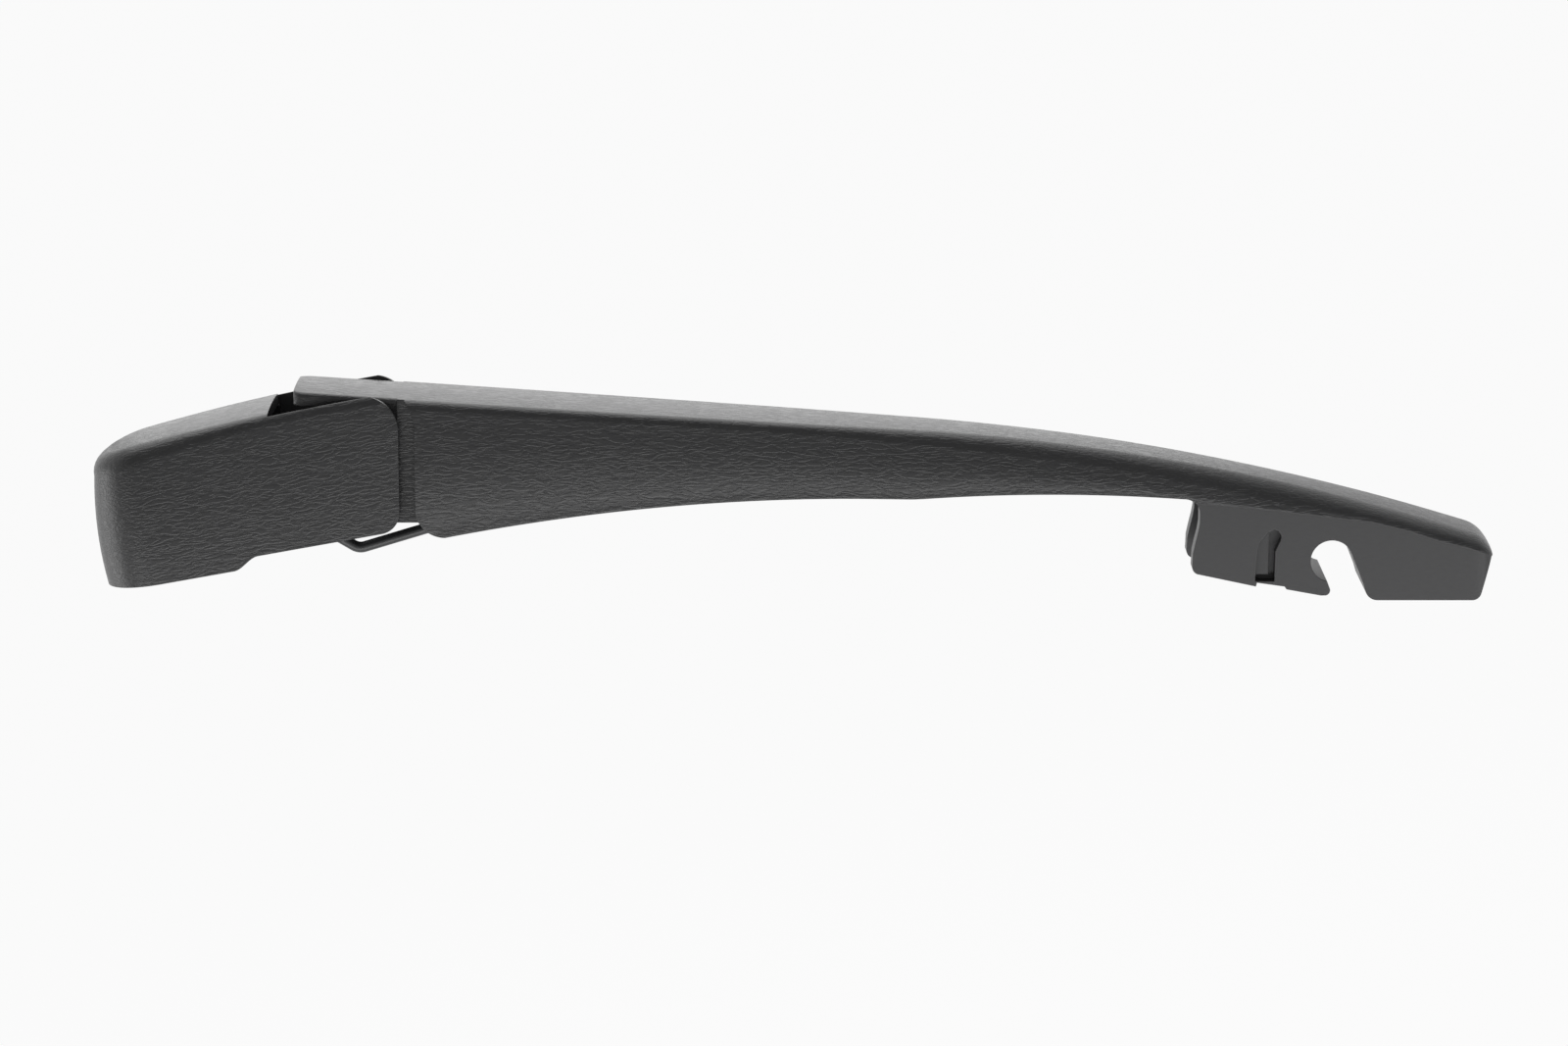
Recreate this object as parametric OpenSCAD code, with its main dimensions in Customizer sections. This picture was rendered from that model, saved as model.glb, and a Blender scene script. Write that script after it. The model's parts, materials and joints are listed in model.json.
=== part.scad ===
// Rear-window wiper arm: grained plastic arm and cover cap on a die-cast mounting head.
// The origin is on the spindle axis, at the face the spindle's nut sits on. +Z points away
// from the glass and +X runs along the arm to the blade end.

/* [Mounting head] */
// Distance from the spindle axis to the arm's pivot
pivot_x = 45.5; // [43:0.5:52]
// Height of the arm's pivot above the nut seat
pivot_z = 4.8; // [4:0.1:6]
// Outer diameter of the spindle boss
boss_d = 20; // [18:0.5:21]
// Height of the spindle boss
boss_h = 16.2; // [14:0.2:16.8]
// Bore for the threaded end of the spindle
bore_d = 8.1; // [6.1:0.1:9]
// Length of the straight part of the bore, under the nut seat
bore_l = 5; // [4:0.5:7]
// Mouth of the tapered bore at the foot of the boss
taper_d = 12; // [10:0.25:13]
// Width of the head across its two ears
head_w = 13.6; // [12:0.2:13.8]
// Width of the slot between the ears, where the link swings
slot_w = 5; // [4:0.2:6]
// Radius of the head around the pivot pin
ear_r = 6.2; // [5:0.1:6.4]
// Radius of the head around the link pin
link_ear_r = 4; // [3.5:0.1:4.4]
// How far the link pin lies behind the pivot
link_back = 20.6; // [20:0.1:21.4]
// How far the link pin lies under the pivot
link_drop = 12.6; // [12.2:0.1:13.4]

/* [Pins] */
// Diameter of the arm's pivot pin
pivot_pin_d = 6; // [5:0.25:7]
// Diameter of the pin that the link hangs on
link_pin_d = 4; // [3:0.25:4.25]
// Diameter of the cross pin that holds the spring
spring_pin_d = 3; // [2.5:0.1:3.4]

/* [Cover cap] */
// Gap beside the arm's tongue in the cap's notch
notch_gap = 1.9; // [1.2:0.1:2.2]
// Width of the cheeks' tops beside the notch
cheek_top = 1.95; // [1.8:0.05:3]
// Wall thickness of the cap
cap_wall = 2; // [1.6:0.1:2.3]
// Distance from the spindle axis to the tip of the nose
nose_reach = 14.6; // [13.8:0.1:16]
// Depth of the skirt around the boss, under the pivot
skirt_deep = 21.8; // [21.2:0.1:24]
// Depth of the skirt under the cheeks, under the pivot
skirt_shallow = 19.5; // [19:0.1:20.5]
// Length of the deep skirt, from the tip of the nose
skirt_l = 30.5; // [28:0.5:33]
// Height of the cap's crest above the pivot
cap_rise = 8.95; // [8.6:0.05:9.4]
// Radius of the cap's top line, seen from the side
cap_top_r = 500; // [400:10:900]
// Rounding of the cap's top edge round the nose
nose_edge_r = 4.6; // [3:0.1:5.4]
// Rounding of the cap's top edge along the cheeks
cheek_edge_r = 2.4; // [2:0.1:3]
// How far the nose leans in at the top
nose_lean = 2.6; // [1:0.1:3.5]
// How far the sides lean in at the top
side_lean = 0.5; // [0:0.1:1]
// Reach of the cheeks past the pivot
cheek_reach = 7.5; // [7:0.1:8]
// Distance from the pivot to the front edge of the notch
notch_back = 18.4; // [17.8:0.1:21]

/* [Arm] */
// Slope of the arm at rest, down from the head
arm_slope = 10.3; // [8:0.1:12]
// Distance from the pivot to the tip of the arm
arm_l = 232; // [228:1:260]
// Width of the arm at its shoulders
arm_w = 24.6; // [24:0.2:25]
// Width of the arm over its slender part and the blade holder
tip_w = 19.8; // [18:0.2:21]
// Height of the arm's top over the pivot
top_rise = 8.5; // [8.2:0.1:8.7]
// Fall of the arm's straight top, in millimetres for each millimetre
top_fall = 0.066; // [0.05:0.002:0.08]
// Where the top starts to bow down to the glass
bow_start = 112; // [100:1:120]
// Radius of the bow
bow_r = 480; // [440:5:600]
// Depth of the arm's lower edge at the shoulders, under the pivot
shoulder_drop = 20.7; // [20:0.1:22]
// Where the lower edge levels out
level_start = 98; // [92:1:104]
// Depth of the level lower edge, under the pivot
level_drop = 12.7; // [12:0.1:13.4]
// Gap between the cheeks of the cap and the shoulders
shoulder_gap = 2.8; // [2.2:0.1:3.4]
// Thickness of the arm's roof
arm_roof = 2.3; // [2:0.1:2.6]
// Thickness of the arm's side walls
arm_wall = 2.4; // [2:0.1:2.8]
// Reach of the tongue behind the pivot
tongue_l = 14.5; // [13:0.1:15]
// Width of the tongue and of the neck under it
neck_w = 18.9; // [18.5:0.1:19.3]
// Depth of the neck, under the pivot
neck_drop = 17.8; // [16.5:0.1:18]
// Radius of the fork's ears around the pivot
fork_r = 7.4; // [6.5:0.1:7.8]
// Thickness of the tongue
tongue_t = 1.9; // [1.6:0.1:2]

/* [Blade holder] */
// Distance from the pivot to the blade pin's seat
seat_x = 198.6; // [196:0.2:202]
// Depth of the seat's centre, under the pivot
seat_drop = 25.9; // [25.4:0.1:26.4]
// Diameter of the seat for the blade's pin
seat_d = 8.7; // [8:0.1:9.2]
// Depth of the holder's heel, under the pivot
heel_drop = 34.2; // [33.8:0.1:35.4]
// Length of the holder from the seat back to its rear edge
holder_back = 28.6; // [27:0.2:30]
// Thickness of the side walls of the blade holder
holder_wall = 4.4; // [3.6:0.1:5]
// Width of the latch windows in the holder's sides
window_w = 5.2; // [4:0.1:5.6]
// Depth of the latch windows
window_deep = 1.6; // [1:0.1:2]

/* [Spring] */
// Outer diameter of the coil
coil_d = 8.4; // [7.6:0.1:8.6]
// Wire of the coil
coil_wire = 1.4; // [1:0.1:1.6]
// Distance from the pivot to the spring's cross pin
anchor_x = 70; // [68:0.5:74]
// Depth of the cross pin, under the pivot
anchor_drop = 5.2; // [4.8:0.1:5.8]
// Wire of the link
link_wire = 2.3; // [2:0.1:2.4]
// Length of the link, from its pin to the spring
link_l = 50; // [48:0.5:52]
// How far the bend of the link hangs under the pivot
link_bend_drop = 24.6; // [24:0.1:25.4]

/* [Hidden] */
$fn = 64;

// Running clearance of a pin in its bore
pin_fit = 0.05;
// Clearance between neighbours that pass each other
side_fit = 0.3;
// Overshoot of a cut past the face that it opens
cut = 1;
fork_inner = head_w / 2 + side_fit;
notch_w = neck_w + 2 * notch_gap;
cap_w = notch_w + 2 * cheek_top;
cap_inner = cap_w / 2 - cap_wall;
stud_tip = neck_w / 2 - 1.1;

// Share of the way from a to b at x, eased at both ends
function ease(x, a, b) = let (t = min(1, max(0, (x - a) / (b - a)))) t * t * (3 - 2 * t);

// Points of a circular arc in a plane
function arc(x, y, r, from, to, n) =
    [for (i = [0:n]) let (a = from + (to - from) * i / n) [x + r * cos(a), y + r * sin(a)]];

// Extrudes a side view, drawn in X and Z, to the width w about the mid-plane
module side_view(points, w) {
    translate([0, w / 2, 0]) rotate([90, 0, 0]) linear_extrude(w) polygon(points);
}

// A round pin across the part
module cross_pin(x, z, d, l) {
    translate([x, l / 2, z]) rotate([90, 0, 0]) cylinder(d = d, h = l);
}

// Skins a list of equal rings, each ring a closed loop of points, with quads at both ends
// between the first half of a ring and its second half
module skin(rings) {
    n = len(rings[0]);
    m = len(rings);
    h = n / 2;
    last = (m - 1) * n;
    polyhedron(
        points = [for (ring = rings) for (p = ring) p],
        faces = concat(
            [for (i = [0:m - 2]) for (j = [0:n - 1]) [i * n + j, i * n + (j + 1) % n, (i + 1) * n + j]],
            [for (i = [0:m - 2]) for (j = [0:n - 1])
                [i * n + (j + 1) % n, (i + 1) * n + (j + 1) % n, (i + 1) * n + j]],
            [for (j = [0:h - 2]) [j + 1, j, n - 1 - j]],
            [for (j = [0:h - 2]) [j + 1, n - 1 - j, n - 2 - j]],
            [for (j = [0:h - 2]) [last + j, last + j + 1, last + n - 1 - j]],
            [for (j = [0:h - 2]) [last + j + 1, last + n - 2 - j, last + n - 1 - j]]
        )
    );
}

// Head

head_foot = -boss_h;
link_pin_at = [pivot_x - link_back, pivot_z - link_drop];
web_end = link_pin_at[0] - link_ear_r - link_wire / 2 - 0.6;

module head_outline() {
    web_top = pivot_z - ear_r - 2.2;
    side_view(concat(
        [[0, head_foot + 2.2], [0, -1.2], [boss_d / 2 + 1, -1.2]],
        [[link_pin_at[0] - 1, web_top], [pivot_x - ear_r - 3, web_top]],
        arc(pivot_x, pivot_z, ear_r, 205, -60, 20),
        [[pivot_x - 4, pivot_z - 12]],
        arc(link_pin_at[0], link_pin_at[1], link_ear_r, -50, -90, 6),
        [[boss_d / 2 + 2, head_foot + 2.2]]
    ), head_w);
}

module head() {
    color("#8f9296") difference() {
        union() {
            translate([0, 0, head_foot]) cylinder(d = boss_d, h = boss_h);
            head_outline();
        }
        translate([0, 0, -bore_l]) cylinder(d = bore_d, h = bore_l + cut);
        translate([0, 0, head_foot]) cylinder(d1 = taper_d, d2 = taper_d - 2, h = boss_h - bore_l);
        translate([web_end, -slot_w / 2, -40]) cube([80, slot_w, 80]);
        cross_pin(pivot_x, pivot_z, pivot_pin_d, head_w + 2 * cut);
        cross_pin(link_pin_at[0], link_pin_at[1], link_pin_d, head_w + 2 * cut);
    }
}

module pivot_pin() {
    color("#55585c") cross_pin(pivot_x, pivot_z, pivot_pin_d, 2 * (stud_tip - side_fit));
}

module link_pin() {
    color("#55585c") cross_pin(link_pin_at[0], link_pin_at[1], link_pin_d, head_w);
}

// Cap

cap_end = pivot_x + cheek_reach + 3;
cap_foot = pivot_z - skirt_deep;
cap_nose_steps = 20;
cap_side_steps = 8;
cap_rise_steps = 8;
cap_edge_steps = 5;

// Height of the cap's top line at x
function cap_top(x) = pivot_z + cap_rise - pow(x - pivot_x, 2) / (2 * cap_top_r);

// Plan of the cap as points with their outward direction, from the near cheek round the nose
function cap_plan() = let (
        r = cap_w / 2,
        c = r - nose_reach,
        sides = [for (i = [0:cap_side_steps - 1]) cap_end + (c - cap_end) * i / cap_side_steps]
    ) concat(
        [for (x = sides) [x, -r, 0, -1]],
        [for (i = [0:cap_nose_steps]) let (a = 270 - 180 * i / cap_nose_steps)
            [c + r * cos(a), r * sin(a), cos(a), sin(a)]],
        [for (i = [cap_side_steps - 1:-1:0]) [sides[i], r, 0, 1]]
    );

// Inward lean of the wall at the share t of its height, for a wall that faces along nx
function cap_lean(t, nx) = (side_lean + (nose_lean - side_lean) * pow(max(0, -nx), 2)) * t * t;

// Rounding of the cap's top edge at x
function cap_edge(x) =
    nose_edge_r + (cheek_edge_r - nose_edge_r) * ease(x, -nose_reach, pivot_x - notch_back);

// One point of the cap's skin at the plan point p: k counts up the wall and over the edge
function cap_point(p, k, inset) = let (
        top = cap_top(p[0]) - inset,
        edge_r = max(0.4, cap_edge(p[0]) - 0.8 * inset),
        wall_top = top - edge_r,
        t = min(1, k / cap_rise_steps),
        a = 90 * max(0, k - cap_rise_steps) / cap_edge_steps,
        lean = cap_lean(t, p[2]),
        in = inset + lean + edge_r * (1 - cos(a)),
        z = cap_foot + (wall_top - cap_foot) * t + edge_r * sin(a)
    ) [p[0] - p[2] * in, p[1] - p[3] * in, z];

// Half ring across the cap at the plan pair j, from the foot of one side over the top
function cap_ring(plan, j, inset) = let (
        n = len(plan) - 1,
        kk = cap_rise_steps + cap_edge_steps
    ) concat(
        [for (k = [0:kk]) cap_point(plan[j], k, inset)],
        [for (k = [kk:-1:0]) cap_point(plan[n - j], k, inset)]
    );

// Closed body inside the cap's skin at the given inset, open nowhere
module cap_body(inset, drop) {
    plan = cap_plan();
    n = len(plan) - 1;
    half = n / 2;
    kk = cap_rise_steps + cap_edge_steps;
    w = 2 * (kk + 1);
    rings = [for (j = [0:half - 1]) cap_ring(plan, j, inset)];
    nose = [for (k = [0:kk]) cap_point(plan[half], k, inset)];
    last = half * w;
    points = [for (ring = rings) for (p = ring) p[2] <= cap_foot + 0.001 ? p - [0, 0, drop] : p];
    tips = [for (p = nose) p[2] <= cap_foot + 0.001 ? p - [0, 0, drop] : p];
    polyhedron(
        points = concat(points, tips),
        faces = concat(
            [for (j = [0:half - 2]) for (k = [0:w - 2]) [j * w + k, (j + 1) * w + k, j * w + k + 1]],
            [for (j = [0:half - 2]) for (k = [0:w - 2])
                [j * w + k + 1, (j + 1) * w + k, (j + 1) * w + k + 1]],
            [for (j = [0:half - 2]) [j * w, j * w + w - 1, (j + 1) * w]],
            [for (j = [0:half - 2]) [j * w + w - 1, (j + 1) * w + w - 1, (j + 1) * w]],
            [for (k = [0:kk - 1]) [(half - 1) * w + k, last + k, (half - 1) * w + k + 1]],
            [for (k = [0:kk - 1]) [(half - 1) * w + k + 1, last + k, last + k + 1]],
            [for (k = [0:kk - 1]) [(half - 1) * w + w - 1 - k, (half - 1) * w + w - 2 - k, last + k]],
            [for (k = [0:kk - 1]) [(half - 1) * w + w - 2 - k, last + k + 1, last + k]],
            [[(half - 1) * w + kk, last + kk, (half - 1) * w + kk + 1]],
            [[(half - 1) * w, (half - 1) * w + w - 1, last]],
            [for (k = [0:kk - 1]) [k, k + 1, w - 1 - k]],
            [for (k = [0:kk - 1]) [k + 1, w - 2 - k, w - 1 - k]]
        )
    );
}

// Side view of everything past the rounded ends of the cheeks
function cheek_end() = let (
        lean = arm_slope,
        top_r = 7,
        low_r = 4.5,
        tx = pivot_x + cheek_reach - top_r,
        tz = pivot_z + cap_rise - top_r,
        fz = pivot_z - skirt_shallow + low_r,
        fx = tx + (top_r - low_r) / cos(lean) - (tz - fz) * tan(lean)
    ) concat(
        [[tx - 1, tz + 30]],
        arc(tx, tz, top_r, 95, -lean, 12),
        arc(fx, fz, low_r, -lean, -90, 8),
        [[fx, fz - 30], [fx + 80, fz - 30], [fx + 80, tz + 30]]
    );

// Side view of what is cut away under the shallow skirt, with its S-shaped step
function skirt_step() = let (
        rise = skirt_deep - skirt_shallow,
        x = skirt_l - nose_reach,
        reach = 2.6
    ) concat(
        [[x - reach, cap_foot - 10]],
        [for (i = [0:12]) [x - reach + 2 * reach * i / 12, cap_foot + rise * ease(i, -0.6, 12)]],
        [[cap_end + 10, cap_foot + rise], [cap_end + 10, cap_foot - 10]]
    );

module cap() {
    color("#2b2c2e") union() {
        difference() {
            cap_body(0, 0);
            cap_body(cap_wall, cut);
            side_view(cheek_end(), cap_w + 10);
            side_view(skirt_step(), cap_w + 10);
            translate([pivot_x - notch_back, -notch_w / 2, 0]) cube([60, notch_w, 40]);
            translate([pivot_x + cheek_reach - 6, -cap_inner, -40]) cube([30, 2 * cap_inner, 80]);
        }
        for (side = [-1, 1]) cap_stud(side);
    }
}

// Stud on the inside of a cheek that turns in the fork's bore
module cap_stud(side) {
    l = cap_inner + 0.6 - stud_tip;
    translate([pivot_x, side * (stud_tip + l / 2), pivot_z]) rotate([90, 0, 0])
        cylinder(d = pivot_pin_d - 2 * pin_fit, h = l, center = true);
    translate([pivot_x, side * (cap_inner + 0.6 - 1), pivot_z]) rotate([90, 0, 0])
        cylinder(d = pivot_pin_d + 3, h = 2.4, center = true);
}

// Arm, in its own frame: X along the arm and the origin on the pivot

fillet_steps = 6;
half_ring = 2 * (fillet_steps + 1) + 7;
holder_start = seat_x - holder_back;
shoulder_x = cheek_reach + shoulder_gap;
// Rounding of the shoulder's lower corner, and the angle at which the neck's lower edge meets it
shoulder_r = 6;
neck_meet = asin((shoulder_r - shoulder_drop + neck_drop) / shoulder_r);
// How far the uncut moulding reaches under the heel
under = 1.5;

// Height of the arm's top at x
function arm_top(x) = let (
        bow = max(0, x - bow_start),
        tip = max(0, x - arm_l + 4)
    ) top_rise - top_fall * x - (bow_r - sqrt(bow_r * bow_r - bow * bow))
      - (4 - sqrt(max(0, 16 - tip * tip))) * 0.7;

// Faint hump of the lower edge before the holder; past it, the line where the grained flank ends
function arm_hump(x) = 0.8 - pow(x - 141, 2) / 780;

// Height of the slender part's lower edge at x: deep at the shoulders, then level up to the hump
function arm_slender(x) = let (
        rise = (shoulder_drop - level_drop) / pow(level_start - shoulder_x - shoulder_r, 2),
        from_level = max(0, level_start - max(x, shoulder_x)),
        lift = max(-0.2, arm_hump(x)) * ease(x, level_start, level_start + 18)
    ) lift - level_drop - rise * pow(from_level, 2);

// Height of the lower edge of the uncut moulding at x
function arm_foot(x) =
    arm_slender(x) + (-heel_drop - under - arm_slender(x)) * ease(x, holder_start - 9, holder_start - 8);

// Half width of the arm at its lower edge
function arm_half(x) = let (
        wide = arm_w / 2 + (tip_w - arm_w) / 2 * ease(x, -30, 150),
        tip = max(0, x - arm_l + 5) / 5,
        tail = max(0, 3 - tongue_l - x) / 3
    ) x < shoulder_x - 3.5 ? neck_w / 2 - 1.8 * (1 - sqrt(1 - min(1, tail * tail)))
      : wide * (1 - 0.3 * (1 - sqrt(max(0, 1 - pow(tip, 3)))));

// Lean of the arm's flanks in millimetres for each millimetre of height
function arm_draft(x) = x < shoulder_x - 3.5 ? 0 : 0.03 + 0.055 * ease(x, 20, 180);

// Rounding of the arm's top edges
function arm_edge(x) = x < shoulder_x - 3.5 ? 1 : 3 + 2.6 * ease(x, 60, 200);

// Height at which the flank stops leaning: just above the lower edge, or at the top of the holder
function arm_waist(x) =
    max(arm_foot(x) + 0.5, min(arm_hump(x) - level_drop, arm_top(x) - arm_edge(x) - 0.5));

// Height of the channel's ceiling at x: where the arm is solid it lies at the lower edge
function channel_z(x, solid) = solid ? arm_foot(x) : arm_top(x) - arm_roof;

// Outer half section, from the lower edge of one flank over the top to the other
function arm_outer(x) = let (
        top = arm_top(x),
        foot = arm_foot(x),
        waist = arm_waist(x),
        lean = arm_draft(x),
        low = arm_half(x),
        mid = low - (waist < foot + 1 ? lean * (waist - foot) : 0),
        r = min(arm_edge(x), 0.8 * mid),
        rise = min(arm_edge(x), 0.9 * (top - waist)),
        half = mid - lean * (top - rise - waist),
        edge = [for (i = [0:fillet_steps]) let (a = 90 * i / fillet_steps)
            [half - r + r * cos(a), top - rise + rise * sin(a)]],
        crown = min(0.5, 0.03 * (half - r))
    ) concat(
        [[x, -low, foot], [x, -mid, waist]],
        [for (i = [0:fillet_steps]) [x, -edge[i][0], edge[i][1]]],
        [[x, -(half - r) / 2, top + crown * 0.75], [x, 0, top + crown]],
        [[x, (half - r) / 2, top + crown * 0.75]],
        [for (i = [fillet_steps:-1:0]) [x, edge[i][0], edge[i][1]]],
        [[x, mid, waist], [x, low, foot]]
    );

// Inner half section with the same count of points, as wide as in
function arm_inner(x, in, solid) = let (
        foot = arm_foot(x),
        roof = channel_z(x, solid),
        n = half_ring,
        r = 1.2,
        lean = x < shoulder_x + 2.5 ? 0 : 0.4
    ) solid
        ? [for (i = [0:n - 1]) [x, -in + 2 * in * i / (n - 1), foot + 0.3 * sin(180 * i / (n - 1))]]
        : concat(
            [[x, -in, foot], [x, -(in - lean / 2), (foot + roof - r) / 2]],
            [for (i = [0:fillet_steps]) let (a = 90 * i / fillet_steps)
                [x, -(in - lean - r + r * cos(a)), roof - r + r * sin(a)]],
            [[x, -(in - r) / 2, roof], [x, 0, roof], [x, (in - r) / 2, roof]],
            [for (i = [fillet_steps:-1:0]) let (a = 90 * i / fillet_steps)
                [x, in - lean - r + r * cos(a), roof - r + r * sin(a)]],
            [[x, in - lean / 2, (foot + roof - r) / 2], [x, in, foot]]
        );

// Half width of the channel at x
function channel_half(x) = x < shoulder_x + 2.5 ? fork_inner
    : x < holder_start - 2 ? arm_half(x) - arm_wall - arm_draft(x) * (arm_top(x) - arm_foot(x))
    : max(arm_half(x) - holder_wall, arm_half(x) / 2);

function arm_ring(x, solid) = let (
        outer = arm_outer(x),
        inner = arm_inner(x, channel_half(x), solid),
        n = len(inner)
    ) concat(outer, [for (i = [n - 1:-1:0]) inner[i]]);

// Where the solid block around the blade pin's seat begins
web_x = seat_x - 10;

// Stations along the arm, each with a mark that says where it is solid
arm_stations = concat(
    [for (i = [0, 0.3, 1, 2, 3]) [i - tongue_l, false]],
    [[-6, false], [0, false], [5, false]],
    [[shoulder_x - 3.6, false], [shoulder_x - 3.4, false], [shoulder_x - 0.5, false]],
    [[shoulder_x + 0.9, false], [shoulder_x + 2.4, false], [shoulder_x + 3, false]],
    [for (x = [17:6:holder_start - 12]) [x, false]],
    [[holder_start - 9, false], [holder_start - 8, false]],
    [for (x = [holder_start - 4:4:web_x - 1]) [x, false]],
    [[web_x, false], [web_x + 0.6, true]],
    [for (x = [web_x + 4:4:arm_l - 8]) [x, true]],
    [for (i = [0:9]) [arm_l - 6 + 6 * sin(90 * i / 9), true]]
);

module arm_shell() {
    skin([for (s = arm_stations) arm_ring(s[0], s[1])]);
}

// Side view of the room for a cheek, left of the curved shoulder
function shoulder_room() = let (r = 9, z = 2) concat(
    [[-30, 30], [shoulder_x - 2.4, 30], [shoulder_x - 2.4, z + 7]],
    arc(shoulder_x - r, z, r, 38, 0, 6),
    arc(shoulder_x + shoulder_r, -shoulder_drop + shoulder_r, shoulder_r, 180, 180 + neck_meet, 4),
    [[shoulder_x + 0.8, -neck_drop - 0.5], [-30, -neck_drop - 0.5]]
);

// Side view of what is cut away behind the fork's ears, under the neck and round the lower corner
function fork_room() = let (
        roof = top_rise - tongue_t,
        low = 5,
        r = shoulder_r
    ) concat(
    [[-30, roof], [-fork_r * 0.75, roof]],
    arc(0, 0, fork_r, 135, 235, 14),
    arc(low + 1, -neck_drop + low, low, 190, 270, 6),
    arc(shoulder_x + r, -shoulder_drop + r, r, 180 + neck_meet, 270, 8),
    [[shoulder_x + r, -60], [-30, -60]]
);

// Side view of everything behind and under the blade holder, with the seat's mouth and the tip
function holder_room() = let (
        rear = holder_start,
        back = rear - 9.5,
        hook = seat_x - 1.5,
        sole = -heel_drop + 2.2,
        mouth = seat_d / 2 * [cos(22), sin(22)]
    ) concat(
    [for (x = [back:1.5:rear - 2]) [x, arm_slender(x)]],
    arc(rear - 1.9, arm_slender(rear - 2) - 3.2, 3.2, 88, 0, 7),
    [[rear + 1.3, -18], [rear + 1, -19.8], [rear + 0.4, -22.4], [rear, -24.4]],
    arc(rear + 1.5, -27.2, 1.6, 170, 255, 6),
    [[seat_x - 15.5, sole + 0.7], [seat_x - 15.3, sole + 1.5], [seat_x - 9.6, sole + 0.7]],
    [[seat_x - 9.2, sole + 0.1], [hook - 0.6, sole - 1.2]],
    arc(hook + 0.2, sole - 0.1, 1.1, -80, 15, 7),
    [[seat_x - 0.9, -seat_drop - 4.2], [seat_x - 0.9, -seat_drop], [seat_x, -seat_drop]],
    [[seat_x + mouth[0], -seat_drop + mouth[1]], [seat_x + 6.7, -seat_drop - 5]],
    arc(seat_x + 9.6, -heel_drop + 2.6, 2.6, 200, 270, 7),
    arc(arm_l - 4.2, -heel_drop + 1.9, 1.9, 270, 345, 5),
    [[arm_l - 0.3, -seat_drop + 0.6], [arm_l + 5, -seat_drop + 0.6], [arm_l + 5, -60], [back, -60]]
);

// Side view of a latch window, and of the deeper slot along its front
window_x = seat_x - 15.7;
window_z = -seat_drop - 3.7;

function window_view(from) = let (x = window_x, w = window_w, z = window_z) concat(
    from > 0 ? [[x + from, z], [x + from, z + 9.7]]
        : [[x, z], [x + 0.3, z + 6.1], [x + 0.8, z + 7.7], [x + 2.4, z + 9.7]],
    arc(x + w - 1.7, z + 8.7, 1.7, 80, -30, 7),
    [[x + w - 1.2, z + 5.6], [x + w - 1.2, z]]
);

module window(side) {
    sill = 1.2;
    face = side * tip_w / 2;
    translate([0, face, 0]) side_view(window_view(0), 2 * window_deep);
    translate([0, face, 0]) side_view(window_view(window_w - 2.4), 3.4 * window_deep);
    translate([window_x, face - window_deep * 2, window_z - sill / 2])
        cube([window_w - 1.2, window_deep * 4, sill]);
}

module arm_local() {
    room_w = 20;
    difference() {
        union() {
            arm_shell();
            for (side = [-1, 1]) anchor_rib(side);
        }
        for (side = [-1, 1]) {
            translate([0, side * (neck_w / 2 + 0.05 + room_w / 2), 0]) side_view(shoulder_room(), room_w);
            window(side);
        }
        side_view(fork_room(), arm_w + 2 * cut);
        cross_pin(0, 0, 2 * (ear_r + side_fit), 2 * fork_inner);
        cross_pin(0, 0, pivot_pin_d + 2 * pin_fit, neck_w + 2 * cut);
        cross_pin(anchor_x, -anchor_drop, spring_pin_d, 2 * rib_out + 2 * cut);
        cross_pin(seat_x, -seat_drop, seat_d, tip_w + 2 * cut);
        side_view(holder_room(), tip_w + 2 * cut);
        heel_pocket();
    }
}

// Coring pocket in the heel, between the seat and the tip
module heel_pocket() {
    wall = 4;
    x = seat_x + 14;
    w = tip_w - 2 * wall;
    deep = 7;
    translate([x, -w / 2, -heel_drop - 2 * under]) cube([arm_l - wall - 2 - x, w, deep + 2 * under]);
}

// Ribs under the roof that carry the spring's cross pin
rib_in = coil_d / 2 + side_fit;
rib_out = rib_in + 1.8;

module anchor_rib(side) {
    rib_l = 11;
    rib_z = -anchor_drop - spring_pin_d / 2 - 1.6;
    rib_top = arm_top(anchor_x) - arm_roof / 2 - 0.4;
    translate([anchor_x - rib_l / 2, side * (rib_in + rib_out) / 2 - (rib_out - rib_in) / 2, rib_z])
        cube([rib_l, rib_out - rib_in, rib_top - rib_z]);
}

// Puts what is drawn in the arm's frame in its place at rest
module at_arm() {
    translate([pivot_x, 0, pivot_z]) rotate([0, arm_slope, 0]) children();
}

module arm() {
    color("#2b2c2e") at_arm() arm_local();
}

module spring_pin() {
    color("#55585c") at_arm() cross_pin(anchor_x, -anchor_drop, spring_pin_d, 2 * rib_out);
}

// Sweep of a round wire along a path, with its frame carried along so that it never twists

function unit(v) = v / norm(v);
function tangent(path, i) = unit(path[min(i + 1, len(path) - 1)] - path[max(i - 1, 0)]);
function carry(v, t) = unit(v - t * (v * t));
function frames(path, v, i) = i == len(path) ? []
    : let (n = carry(v, tangent(path, i))) concat([n], frames(path, n, i + 1));

module wire(path, d, sides, start) {
    m = len(path);
    side = frames(path, start, 0);
    polyhedron(
        points = [for (i = [0:m - 1]) let (t = tangent(path, i), u = side[i], v = cross(t, u))
            for (j = [0:sides - 1]) let (a = 360 * j / sides)
                path[i] + d / 2 * (u * cos(a) + v * sin(a))],
        faces = concat(
            [[for (j = [0:sides - 1]) j]],
            [for (i = [0:m - 2]) for (j = [0:sides - 1]) let (k = (j + 1) % sides)
                [i * sides + j, (i + 1) * sides + j, (i + 1) * sides + k, i * sides + k]],
            [[for (j = [sides - 1:-1:0]) (m - 1) * sides + j]]
        )
    );
}

// The link and the spring, in a frame with the origin on the link pin and X on the line of pull

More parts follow.
